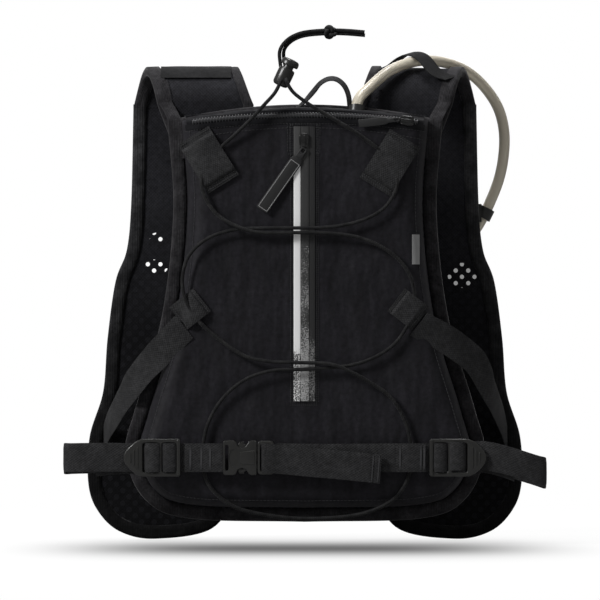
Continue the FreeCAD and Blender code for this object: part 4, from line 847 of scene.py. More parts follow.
@dataclass
class Studio:
    """The white studio: floor, surround, soft boxes and camera.

    The soft shadow on the floor is painted: an even ellipse with half sizes shade_width and shade_depth about
    the place (0, shade_at), as dark as shade_dark at its middle. Nearer than near_floor the floor glows less
    than white, so that the pack's own shadow from the lamps shows on it too.
    """

    MIDDLE = mm(-4.35, 0, 214)
    distance: float = 5.0
    frame_width: float = 0.522
    sensor: float = 36.0
    surround_light: float = 0.2
    floor_size: float = 12.0
    shade_width: float = 0.195
    shade_depth: float = 0.14
    shade_at: float = -0.115
    shade_dark: float = 0.07
    near_floor: float = 0.3
    far_floor: float = 0.9
    near_glow: float = 0.9
    LAMPS = (
        Lamp("key_box", (-1.9, -1.3, 1.7), (0, 0, 0.24), 0.7, 60),
        Lamp("fill_box", (1.9, -1.5, 1.0), (0, 0, 0.2), 1.2, 2),
        Lamp("top_box", (0.1, 0.0, 1.9), (0, 0, 0.2), 0.8, 22),
        Lamp("back_box", (0.0, 1.6, 1.1), (0, 0, 0.25), 1.4, 10),
    )

    def build(self) -> None:
        """Builds the whole studio and sets up the render."""
        scene = bpy.context.scene
        scene.view_settings.view_transform = "Standard"
        scene.render.film_transparent = False
        self.surround()
        self.floor()
        for lamp in self.LAMPS:
            lamp.build()
        self.camera()

    def camera(self) -> None:
        """A long lens level with the middle of the pack."""
        data = bpy.data.cameras.new("camera")
        data.sensor_width = self.sensor
        data.lens = self.sensor * (self.distance - abs(FACE_Y)) / self.frame_width
        data.clip_end = 20
        camera = bpy.data.objects.new("camera", data)
        bpy.context.collection.objects.link(camera)
        camera.location = self.MIDDLE - Vector((0, self.distance, 0))
        camera.rotation_euler = (math.pi / 2, 0, 0)
        bpy.context.scene.camera = camera

    def surround(self) -> None:
        """A white world that the camera sees as paper white and that lights the pack softly."""
        world = bpy.data.worlds.new("surround")
        bpy.context.scene.world = world
        world.use_nodes = True
        world.node_tree.nodes.clear()
        grid = Grid(world.node_tree)
        seen, light = grid.node("ShaderNodeBackground"), grid.node("ShaderNodeBackground")
        seen.inputs["Strength"].default_value = 1.0
        light.inputs["Strength"].default_value = self.surround_light
        mix = grid.node("ShaderNodeMixShader")
        grid.feed(mix.inputs[0], grid.node("ShaderNodeLightPath").outputs["Is Camera Ray"])
        grid.feed(mix.inputs[1], light.outputs[0])
        grid.feed(mix.inputs[2], seen.outputs[0])
        for shader in (seen, light):
            shader.inputs["Color"].default_value = (1, 1, 1, 1)
        grid.feed(grid.node("ShaderNodeOutputWorld").inputs[0], mix.outputs[0])

    def floor(self) -> bpy.types.Object:
        """A wide floor that the camera sees as white, with a painted soft shadow under the pack."""
        bpy.ops.mesh.primitive_grid_add(x_subdivisions=4, y_subdivisions=4, size=self.floor_size)
        floor = bpy.context.object
        floor.name = "studio_floor"
        material = bpy.data.materials.new("white_floor")
        material.use_nodes = True
        material.node_tree.nodes.clear()
        grid = Grid(material.node_tree)
        paper, glow = grid.node("ShaderNodeBsdfDiffuse"), grid.node("ShaderNodeEmission")
        ray = grid.node("ShaderNodeLightPath").outputs["Is Camera Ray"]
        grid.feed(paper.inputs["Color"], grid.blend(ray, (0.3, 0.3, 0.3, 1), (0.95, 0.95, 0.95, 1)))
        mix = grid.node("ShaderNodeMixShader")
        far = grid.parts(grid.node("ShaderNodeTexCoord").outputs["Object"])
        across, deep = (grid.math("POWER", far[i], 2.0) for i in (0, 1))
        reach = grid.math("SQRT", grid.math("ADD", across, deep))
        plain = grid.span(reach, self.near_floor, self.far_floor, self.near_glow, 1.0)
        # Painted shadow: an ellipse that darkens the floor's glow, darkest at (0, shade_at).
        wide = grid.math("POWER", grid.math("MULTIPLY", across, self.shade_width ** -2), 2.0)
        back = grid.math("MULTIPLY", grid.math("ADD", far[1], -self.shade_at), 1 / self.shade_depth)
        past = grid.math("ADD", wide, grid.math("POWER", back, 2.0))
        painted_shadow_fade = grid.math("EXPONENT", grid.math("MULTIPLY", past, -1.0))
        grid.feed(glow.inputs["Color"], grid.blend(painted_shadow_fade, (1, 1, 1, 1), (*(self.shade_dark,) * 3, 1)))
        grid.feed(mix.inputs[0], grid.math("MULTIPLY", ray, plain))
        grid.feed(mix.inputs[1], paper.outputs[0])
        grid.feed(mix.inputs[2], glow.outputs[0])
        grid.feed(grid.node("ShaderNodeOutputMaterial").inputs[0], mix.outputs[0])
        floor.data.materials.append(material)
        return floor


# -----------------------------------------------------------------------------
# Cords: the drink hose and the shock cord
# -----------------------------------------------------------------------------
HOSE_X, INSIDE_Y = 41.0, FACE_Y / MM + 12.8
SEAM, BENT_Y, BENT_Z, FAR = (v / MM for v in (SEAM_Y, BEND_Y, BEND_Z, FRONT_FAR_Y))
HOSE_ROUTE = [mm(*p) for p in (
    (HOSE_X + 3, INSIDE_Y, 92), (HOSE_X + 4, INSIDE_Y, 140), (HOSE_X + 7, INSIDE_Y, 198),
    (HOSE_X + 4, INSIDE_Y, 256), (HOSE_X + 2, INSIDE_Y, 308), (HOSE_X + 2, INSIDE_Y, 344),
    (HOSE_X + 3, SEAM - 17, 366), (HOSE_X + 5, SEAM - 9, 388), (HOSE_X + 16, BENT_Y - 42, BENT_Z + 15.5),
    (HOSE_X + 30, BENT_Y - 33, BENT_Z + 28), (HOSE_X + 43, BENT_Y - 23, BENT_Z + 35),
    (HOSE_X + 57, BENT_Y - 11, BENT_Z + 39.5), (HOSE_X + 72, BENT_Y + 1, BENT_Z + 40.5),
    (HOSE_X + 88, BENT_Y + 13, BENT_Z + 38), (HOSE_X + 104, BENT_Y + 27, BENT_Z + 31.5),
    (HOSE_X + 119, BENT_Y + 38, BENT_Z + 18.5), (HOSE_X + 131, FAR + 10, 386),
    (HOSE_X + 136.5, FAR + 13, 366), (HOSE_X + 136.5, FAR + 14, 345), (HOSE_X + 132.5, FAR + 14, 323),
    (HOSE_X + 124.5, FAR + 14, 302), (HOSE_X + 114, FAR + 13, 281), (HOSE_X + 99, FAR + 11, 262),
    (HOSE_X + 77, FAR + 10, 247), (HOSE_X + 54, FAR + 10, 239),
)]
LOCK_AT = Vector((-18.5, FACE_Y / MM - 2, 408.0))
TAIL_Y = LOCK_AT.y + 13


def from_lock(x: float, y: float, z: float) -> tuple[float, float, float]:
    """A point of the lacing measured from the middle of the cord lock, in millimetres."""
    return (LOCK_AT.x + x, LOCK_AT.y + y, LOCK_AT.z + z)


LACING_FACE = (
    (-35, 384, 9), (-48, 370, 6.4), (-66, 353, 3.2), (-80, 341, 2.1), (-88, 329, 2.2), (-90, 315, 3.8),
    (-86, 301, 4.6), (-75, 287, 5.4), (-57, 277, 8), (-37, 272.4, 7.2), (-4, 272.6, 6.9), (30, 271.4, 6.4),
    (54, 266, 5.4), (76, 254, 4.6), (90, 238, 3.8), (95, 220, 2.5), (94, 204, 2.1), (87, 188, 3.2),
    (76, 174, 4.2), (58, 163, 4.4), (35, 156.4, 4.4), (-4, 153.6, 6.8), (-28, 152.8, 6.8), (-52, 145, 5.8),
    (-71, 129, 3.8), (-83, 110, 3.6), (-88, 92, 3.4), (-89, 74, 3.4), (-86, 58, 3), (-77, 45, 2.6),
    (-57, 32, 0.4), (-18, 24.6, -4.4), (18, 24, -4.4), (50, 28, -1.6), (75, 39, 2), (88, 55, 2.8),
    (92.5, 73, 3.4), (91.5, 91, 3.4), (86, 111, 3.6), (74, 130, 4.6), (57, 142, 6.4), (39, 152, 8.2),
    (22, 158.4, 8), (-6, 159.6, 6.8), (-31, 160.6, 6.6), (-52, 165, 5.8), (-71, 177, 4), (-89, 192, 2.6),
    (-100, 206, 2.1), (-106, 222, 2.6), (-106, 238, 3.6), (-100, 254, 4.2), (-84, 268, 4.4), (-62, 275, 5.4),
    (-40, 276.4, 6.8), (-6, 276.6, 6.9), (25, 277.6, 6.2), (52, 284, 5.2), (70, 295, 4.4), (79, 310, 3.4),
    (80, 324, 2.3), (74, 337, 2.1), (59, 349, 3.4), (42, 361, 6.2), (22, 373, 8), (5, 383, 10.4),
)
BUNGEE_ROUTE = [mm(*p) for p in (
    (52, TAIL_Y - 0.9, 447.6), (38, TAIL_Y - 0.9, 448.8), (26, TAIL_Y - 0.9, 449.2),
    (12, TAIL_Y - 0.9, 448.8), (-3.4, TAIL_Y - 0.9, 446.8), (-15.2, TAIL_Y - 0.9, 441),
    (-22, TAIL_Y - 0.9, 431.5), from_lock(-3, 12, 12), from_lock(-2, 9.5, 4.3), from_lock(-1.9, 0, 0),
    from_lock(-2.6, -9.5, -4), from_lock(-7.5, -9.5, -14),
    *((x, FACE_Y / MM - lift, z) for x, z, lift in LACING_FACE),
    from_lock(8.5, -9.5, -14), from_lock(2.4, -9.5, -4), from_lock(1.9, 0, 0), from_lock(2, 9.5, 4.3),
    from_lock(1, 15, 11.5), (-18.6, TAIL_Y + 1.2, 431), (-12.6, TAIL_Y + 0.9, 439.2),
    (-2, TAIL_Y + 0.9, 444.2), (12.6, TAIL_Y + 0.9, 446), (26.4, TAIL_Y + 0.9, 446.4),
    (38.4, TAIL_Y + 0.9, 446), (52.4, TAIL_Y + 0.9, 444.8),
)]


@dataclass
class Cords:
    """The drink hose with its bite valve, and the shock cord with its lock and knot."""

    hose_length: float = 0.665
    hose_size: float = 0.0096
    cord_length: float = 1.72
    cord_size: float = 0.0032

    def build(self) -> None:
        hose = cord_curve("drink_hose", through(HOSE_ROUTE, 3), self.hose_size / 2)
        dress(hose, "root", Finishes.hose, ["hose"])
        self.valve()
        cord = cord_curve("shock_cord", through(BUNGEE_ROUTE, 3), self.cord_size / 2)
        dress(cord, "root", Finishes.cord, ["bungee_cord"])
        self.knot()
        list(CordLock().build())

    def valve(self) -> list[bpy.types.Object]:
        """The shut-off valve and the bite piece, which keep their solid shapes."""
        paint_node("valve_body", Finishes.valve)
        paint_node("valve_lever", Finishes.valve)
        paint_node("bite_valve", Finishes.rubber)
        return [frame["nodes"][name] for name in ("valve_body", "valve_lever", "bite_valve")]

    def knot(self) -> bpy.types.Object:
        """An overhand knot that holds both ends of the shock cord, wound from one strand."""
        low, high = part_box("bungee_knot")
        middle, turns, steps = (low + high) / 2, 3, 66
        reach = (high[0] - low[0]) / 2 - self.cord_size / 2
        points = []
        for i in range(steps + 1):
            angle = 2 * math.pi * turns * i / steps / 1.5
            wide = reach * (0.62 + 0.3 * math.cos(1.5 * angle))
            points.append(middle + Vector((wide * math.cos(angle), reach * 0.62 * math.sin(1.5 * angle),
                                           wide * math.sin(angle))))
        knot = cord_curve("end_knot", points, self.cord_size / 2 * 1.04)
        return dress(knot, "root", Finishes.cord, ["bungee_knot"])


class CordLock:
    """The sprung barrel that grips the shock cord, with its button."""

    LEAN = math.radians(25)
    BARREL = ((0, -8.5), (3.6, -8.5), (5.6, -8.1), (6.7, -7.0), (7.2, -5.4), (7.3, 0.0), (7.3, 5.0),
              (6.9, 7.4), (5.9, 7.6), (5.9, 8.0), (4.9, 8.0), (4.9, -5.0), (0, -5.0))
    CAP = ((0, 16.8), (4.4, 16.8), (6.6, 16.2), (7.6, 15.0), (7.9, 13.2), (7.9, 11.3), (7.4, 10.7),
           (4.6, 10.7), (4.6, -1.0), (0, -1.0))

    def build(self) -> list[bpy.types.Object]:
        """Barrel, button and spring."""
        barrel = dress(self.turned("cord_lock_barrel", self.BARREL), "root",
                       Finishes.plastic, ["cord_lock_body"])
        button = dress(self.turned("cord_lock_cap", self.CAP), "lock_button",
                       Finishes.plastic, ["cord_lock_button"])
        paint_node("cord_lock_spring", Finishes.steel)
        return [barrel, button, frame["nodes"]["cord_lock_spring"]]

    def turned(self, name: str, profile: Sequence[Flat]) -> bpy.types.Object:
        """A body of revolution about the lock's leaning axis.

        Args:
            name: the piece's name.
            profile: half of its section as (radius, height) in millimetres, from axis to axis.

        Returns:
            The mesh object in its place.
        """
        mesh = bpy.data.meshes.new(name)
        mesh.from_pydata([(r * MM, 0, z * MM) for r, z in profile],
                         [(i, i + 1) for i in range(len(profile) - 1)], [])
        obj = bpy.data.objects.new(name, mesh)
        bpy.context.collection.objects.link(obj)
        make_active(obj)
        bpy.ops.object.mode_set(mode="EDIT")
        bpy.ops.mesh.select_all(action="SELECT")
        bpy.ops.mesh.spin(steps=40, angle=2 * math.pi, center=(0, 0, 0), axis=(0, 0, 1))
        weld(obj, 1e-6)
        obj.matrix_world = Matrix.Translation(LOCK_AT * MM) @ Matrix.Rotation(self.LEAN, 4, "Y")
        settle(obj)
        smooth(obj, 35)
        return obj


# -----------------------------------------------------------------------------
# Sheets, bands and stitches worked out point by point
# -----------------------------------------------------------------------------
def spread(count: int) -> list[float]:
    """Even shares from -0.5 to 0.5."""
    return [i / (count - 1) - 0.5 for i in range(count)]


def slab(name: str, rows: Sequence[Sequence[Vector]], thick: float, edge: float = 0.45) -> bpy.types.Object:
    """A closed strip with thickness from a grid of points on its middle surface.

    Args:
        name: the piece's name.
        rows: rows of points across the strip, in order along it.
        thick: its thickness in metres.
        edge: the share of the thickness that is left at the long edges.

    Returns:
        The mesh object, with a UV map in metres across and along.
    """
    count, wide = len(rows), len(rows[0])
    half = wide // 2
    points, uvs, faces, run = [], [], [], 0.0
    for i, row in enumerate(rows):
        if i:
            run += (row[half] - rows[i - 1][half]).length
        lifted, sunk, reach = [], [], 0.0
        for j, place in enumerate(row):
            if j:
                reach += (place - row[j - 1]).length
            along = rows[min(i + 1, count - 1)][j] - rows[max(i - 1, 0)][j]
            across = row[min(j + 1, wide - 1)] - row[max(j - 1, 0)]
            normal = across.cross(along)
            normal.normalize()
            step = normal * (thick / 2 * (edge if j in (0, wide - 1) else 1.0))
            lifted.append((place + step, (reach, run)))
            sunk.append((place - step, (reach, run)))
        for place, uv in lifted + sunk[::-1]:
            points.append(place)
            uvs.append(uv)
    ring = 2 * wide
    for i in range(count - 1):
        faces += tube_faces(i * ring, (i + 1) * ring, ring)
    last = (count - 1) * ring
    for j in range(wide - 1):
        faces.append((j, ring - 1 - j, ring - 2 - j, j + 1))
        faces.append((last + j, last + j + 1, last + ring - 2 - j, last + ring - 1 - j))
    obj = mesh_object(name, points, faces, uvs)
    smooth(obj, 50)
    return obj


@dataclass(frozen=True)
class Station:
    """A place along a strap: its middle, the direction of its width, and its width."""

    middle: Vector
    across: Vector
    width: float


def strap(name: str, stations: Sequence[Station], thick: float, steps: int = 8, wide: int = 7,
          sway: float = 0.0002) -> bpy.types.Object:
    """Webbing that runs smoothly through its stations.

    Args:
        name: the piece's name.
        stations: places along it.
        thick: its thickness in metres.
        steps: rows from each station to the next.
        wide: points across it.
        sway: how far its surface strays from flat.

    Returns:
        The mesh object.
    """
    middles = through([s.middle for s in stations], steps)
    ways = through([s.across.normalized() for s in stations], steps)
    widths = through([Vector((s.width, 0, 0)) for s in stations], steps)
    rows = []
    for i, (middle, way, width) in enumerate(zip(middles, ways, widths)):
        way = way.normalized()
        along = (middles[min(i + 1, len(middles) - 1)] - middles[max(i - 1, 0)]).normalized()
        normal = way.cross(along).normalized()
        row = []
        for s in spread(wide):
            place = middle + way * (width.x * s)
            row.append(place + normal * (noise.noise(place * 90) * sway))
        rows.append(row)
    return slab(name, rows, thick)


class Sewing:
    """Gathers the stitches of one part of the pack and makes them into one piece."""

    SIDES = 4

    def __init__(self, radius: float = 0.00032) -> None:
        """Starts with no stitches of a thread's radius."""
        self.radius = radius
        self.points: list[Vector] = []
        self.faces: list[tuple[int, ...]] = []

    def dash(self, start: Vector, end: Vector, normal: Vector) -> None:
        """One stitch that dips into the cloth at both ends.

        Args:
            start: where the thread comes out.
            end: where it goes in.
            normal: the cloth's outward direction.
        """
        along = end - start
        if along.length < 1e-6:
            return
        side = along.cross(normal).normalized()
        base = len(self.points)
        for share, size, lift in ((0.0, 0.45, -0.3), (0.25, 1.0, 0.35), (0.75, 1.0, 0.35), (1.0, 0.45, -0.3)):
            middle = start + along * share + normal * (self.radius * lift)
            for k in range(self.SIDES):
                angle = 2 * math.pi * (k + 0.5) / self.SIDES
                reach = self.radius * size
                across, out = side * (math.cos(angle) * reach), normal * (math.sin(angle) * reach)
                self.points.append(middle + across + out)
        for i in range(3):
            self.faces += tube_faces(base + i * self.SIDES, base + (i + 1) * self.SIDES, self.SIDES)
        self.faces.append(tuple(base + k for k in range(self.SIDES)))
        self.faces.append(tuple(base + 3 * self.SIDES + k for k in reversed(range(self.SIDES))))

    def run(self, line: Sequence[Vector], normal: Callable[[Vector], Vector] | Vector, pitch: float = 0.0032,
            closed: bool = False) -> None:
        """A row of stitches along a line, a pitch apart."""
        spots = evenly(line, pitch, closed)
        for a, b in zip(spots, spots[1:]):
            way = normal(a) if callable(normal) else normal
            self.dash(a + (b - a) * 0.08, a + (b - a) * 0.86, way)

    def tack(self, middle: Vector, across: Vector, along: Vector, normal: Vector, width: float,
             length: float, rows: int = 9) -> None:
        """A bar-tack: close stitches side by side over a short length."""
        for i in range(rows):
            step = along * (length * (i / (rows - 1) - 0.5))
            lean = along * (length / rows * 0.4)
            half = across * (width / 2)
            self.dash(middle + step - half - lean, middle + step + half + lean, normal)

    def bar(self, middle: Vector, width: float, length: float, rows: int = 4, across: Vector = UP) -> None:
        """A bar-tack across webbing that runs along X and faces the viewer of the bag.

        Args:
            middle: its middle.
            width: its reach across the webbing, in millimetres.
            length: its reach along the webbing, in millimetres.
            rows: how many stitches it has.
            across: the direction across the webbing.
        """
        self.tack(middle, across, Vector((1, 0, 0)), Vector((0, -1, 0)), width * MM, length * MM, rows)

    def build(self, name: str, body: str = "root", slot: str = "webbing",
              material: bpy.types.Material = Finishes.thread) -> bpy.types.Object:
        """The stitches as one piece that rides on a body."""
        obj = mesh_object(name, self.points, self.faces)
        smooth(obj, 60)
        return dress(obj, body, material)


class Region:
    """An outline in (x, z) that knows how far inside it a place is."""

    NEAR = 6 * MM

    def __init__(self, points: Sequence[Vector], closed: bool = True) -> None:
        """Keeps the outline's points, which run clockwise as seen from the bag's side."""
        self.points = list(points)
        self.closed = closed
        self.inward: list[Vector] = []
        self.tree = KDTree(len(self.points))
        for i, place in enumerate(self.points):
            before, after = self.neighbours(i)
            along = (after - before).normalized()
            self.inward.append(Vector((along.z, 0, -along.x)))
            self.tree.insert(place, i)
        self.tree.balance()

    def neighbours(self, i: int) -> tuple[Vector, Vector]:
        """The points before and after one point."""
        last = len(self.points) - 1
        if self.closed:
            return self.points[i - 1], self.points[(i + 1) % (last + 1)]
        return self.points[max(i - 1, 0)], self.points[min(i + 1, last)]

    def depth(self, x: float, z: float) -> float:
        """How far inside the outline a place is, negative outside it."""
        place = Vector((x, 0, z))
        near, i, gap = self.tree.find(place)
        step = (place - near).dot(self.inward[i])
        if gap < self.NEAR:
            return step
        return gap if step > 0 else -gap

    def moved_in(self, inset: float) -> list[Vector]:
        """The outline's points moved inwards."""
        return [p + n * inset for p, n in zip(self.points, self.inward)]


def rings(outline: Sequence[Vector], spine: Sequence[Vector], shares: Sequence[float]) -> list[list[Vector]]:
    """Rings that shrink from an outline to a spine inside it."""
    line = evenly(spine, 1 * MM) if len(spine) > 1 else list(spine)
    tree = KDTree(len(line))
    for i, place in enumerate(line):
        tree.insert(place, i)
    tree.balance()
    goals = [tree.find(p)[0] for p in outline]
    return [[p.lerp(goal, share) for p, goal in zip(outline, goals)] for share in shares]


def pad(name: str, region: Region, spine: Sequence[Vector], shares: Sequence[float],
        near: Callable[[float, float, float], float],
        far: Callable[[float, float, float], float]) -> bpy.types.Object:
    """A closed cushion over an outline.

    Args:
        name: the piece's name.
        region: its outline in (x, z).
        spine: the line that the rings shrink to.
        shares: how far in each ring lies, from 0 at the outline to 1 on the spine.
        near: depth along Y of the face towards the bag, from x, z and the distance to the edge.
        far: the same for the other face.

    Returns:
        The mesh object.
    """
    layers = rings(region.points, spine, shares)
    count = len(region.points)
    points, faces = [], []
    for face in (near, far):
        for layer in layers:
            for place in layer:
                gap = max(region.depth(place.x, place.z), 0.0)
                points.append(Vector((place.x, face(place.x, place.z, gap), place.z)))
    block = len(layers) * count
    for side in (0, 1):
        for i in range(len(layers) - 1):
            low = side * block + i * count
            faces += tube_faces(low, low + count, count)
    for j in range(count):
        k = (j + 1) % count
        faces.append((j, block + j, block + k, k))
    obj = mesh_object(name, points, faces)
    weld(obj, 0.25 * MM)
    smooth(obj, 70)
    return obj


def bind(name: str, edge: Sequence[Vector], inward: Sequence[Vector], normal: Sequence[Vector], half: float,
         lap: float = 10.6 * MM, closed: bool = True) -> bpy.types.Object:
    """A soft tape folded round an edge.

    Args:
        name: the piece's name.
        edge: points along the edge, half way through its thickness.
        inward: the direction into the cloth at each point.
        normal: the direction through the cloth at each point.
        half: half the thickness of what it binds.
        lap: how far it reaches inwards.
        closed: whether it runs all the way round.

    Returns:
        The mesh object.
    """
    tape = 1.5 * MM
    section = [(1.0, 0.55), (0.9, 1.0), (0.55, 1.05), (0.2, 1.08), (-0.02, 0.98), (-0.11, 0.6), (-0.14, 0.0)]
    outer = section + [(a, -b) for a, b in reversed(section[:-1])]
    points, faces = [], []
    for place, way, up in zip(edge, inward, normal):
        for a, b in outer:
            puff = 1.0 + 0.22 * noise.noise((place + up * (b * 0.02)) * 55) + 0.1 * noise.noise(place * 190)
            rise = b * (half + tape)
            if abs(b) > 0.99:
                rise = math.copysign(half + tape * puff * min(abs(b), 1.0), b)
            reach = a * lap + (0.5 * MM * noise.noise(place * 70) if a > 0.8 else 0.0)
            points.append(place + way * reach + up * rise)
        points.append(place + way * lap * 0.96 - up * half * 0.7)
        points.append(place + way * lap * 0.96 + up * half * 0.7)
    ring = len(outer) + 2
    spans = len(edge) if closed else len(edge) - 1
    for i in range(spans):
        faces += tube_faces(i * ring, ((i + 1) % len(edge)) * ring, ring)
    if not closed:
        faces.append(tuple(range(ring)))
        faces.append(tuple(reversed(range((len(edge) - 1) * ring, len(edge) * ring))))
    obj = mesh_object(name, points, faces)
    smooth(obj, 75)
    return obj


# -----------------------------------------------------------------------------
# Back panel and bag
# -----------------------------------------------------------------------------
PANEL_SIDE = ((119, 370), (114, 292), (124, 200), (147, 120), (156, 80), (140, 41), (102, 24), (0, 21))
PANEL_TOP, PANEL_RISE, PANEL_CORNER = 384.0, 14.0, 119.0


def side_and_base() -> list[Vector]:
    """The outline of the panel from its right top corner, down and round to its left top corner."""
    down = through([mm(x, 0, z) for x, z in PANEL_SIDE], 14)
    return down + [Vector((-p.x, 0, p.z)) for p in reversed(down[:-1])]


def arched(x: float, drop: float = 0.0) -> float:
    """Height of the panel's top edge at x, in metres, lowered by drop."""
    return (PANEL_TOP - PANEL_RISE * (x / MM / PANEL_CORNER) ** 2) * MM - drop


def top_arc(steps: int = 60) -> list[Vector]:
    """The panel's top edge from its left corner to its right corner, corners left out."""
    xs = [(-1 + 2 * i / steps) * PANEL_CORNER * MM for i in range(1, steps)]
    return [Vector((x, 0, arched(x))) for x in xs]


class BagFace:
    """The form of the bag: how far its cloth stands off the seam at each place."""

    FOOT_INSET = 11 * MM
    TOP_DROP = 1.6 * MM
    SIDE_ROUND = 17 * MM
    TOP_ROUND = 3.2 * MM
    POWER = 2.5

    def __init__(self) -> None:
        """Works out the foot of the bag's sides."""
        whole = Region(evenly(side_and_base(), 1.6 * MM), closed=False)
        self.side = Region(whole.moved_in(self.FOOT_INSET), closed=False)
        self.full = SEAM_Y - FACE_Y

    def rise(self, gap: float, width: float) -> float:
        """A rounded shoulder: 0 at the edge and 1 from width inwards."""
        share = min(max(gap / width, 0.0), 1.0)
        return (1 - (1 - share) ** self.POWER) ** (1 / self.POWER)

    def stand(self, x: float, z: float) -> float:
        """How far the cloth stands off the seam, before its creases."""
        top = arched(x, self.TOP_DROP) - z
        return self.full * self.rise(self.side.depth(x, z), self.SIDE_ROUND) * self.rise(top, self.TOP_ROUND)

    def crease(self, x: float, z: float) -> float:
        """How deep soft folds press into the cloth at a place."""
        place = Vector((x * 11, 2.0, z * 8))
        wide = 0.5 + 0.5 * noise.noise(place)
        fine = 0.5 + 0.5 * noise.noise(Vector((x * 42 + z * 12, 7.0, z * 27)))
        calm = 1 - math.exp(-(((x - ZIP_X) / 0.014) ** 2))
        return (1.1 * wide + 0.55 * fine) * MM * calm

    def at(self, x: float, z: float, lift: float = 0.0) -> Vector:
        """A point on the bag's cloth, or lifted off it."""
        stand = self.stand(x, z)
        return Vector((x, SEAM_Y - stand + self.crease(x, z) * min(stand / self.full, 1.0) - lift, z))

    def over(self, x: float, z: float, lift: float, drop: float = 6 * MM) -> Vector:
        """A point lifted off the bag, on cloth that bridges the bag's rounded sides."""
        spot = self.at(x, z, lift)
        spot.y = min(spot.y, FACE_Y + drop - lift)
        return spot

    def half_width(self, z: float, inset: float) -> float:
        """Half the bag's breadth at a height, less an inset."""
        return max((x * MM for x in range(20, 160) if self.side.depth(x * MM, z) > inset), default=20 * MM)

    def normal(self, place: Vector) -> Vector:
        """The outward direction at a place on the bag."""
        step = 1.5 * MM
        right = self.at(place.x + step, place.z) - self.at(place.x - step, place.z)
        high = self.at(place.x, place.z + step) - self.at(place.x, place.z - step)
        return right.cross(high).normalized()


BAG = BagFace()


def face_band(name: str, line: Sequence[Vector], width: float, lift: float, thick: float, wide: int = 5,
              edge: float = 0.45) -> bpy.types.Object:
    """A tape laid on the bag along a line in (x, z)."""
    rows = []
    for i, place in enumerate(line):
        along = (line[min(i + 1, len(line) - 1)] - line[max(i - 1, 0)]).normalized()
        across = Vector((along.z, 0, -along.x))
        spots = [place + across * (width * s) for s in spread(wide)]
        rows.append([BAG.at(p.x, p.z, lift + thick / 2) for p in spots])
    return slab(name, rows, thick, edge)


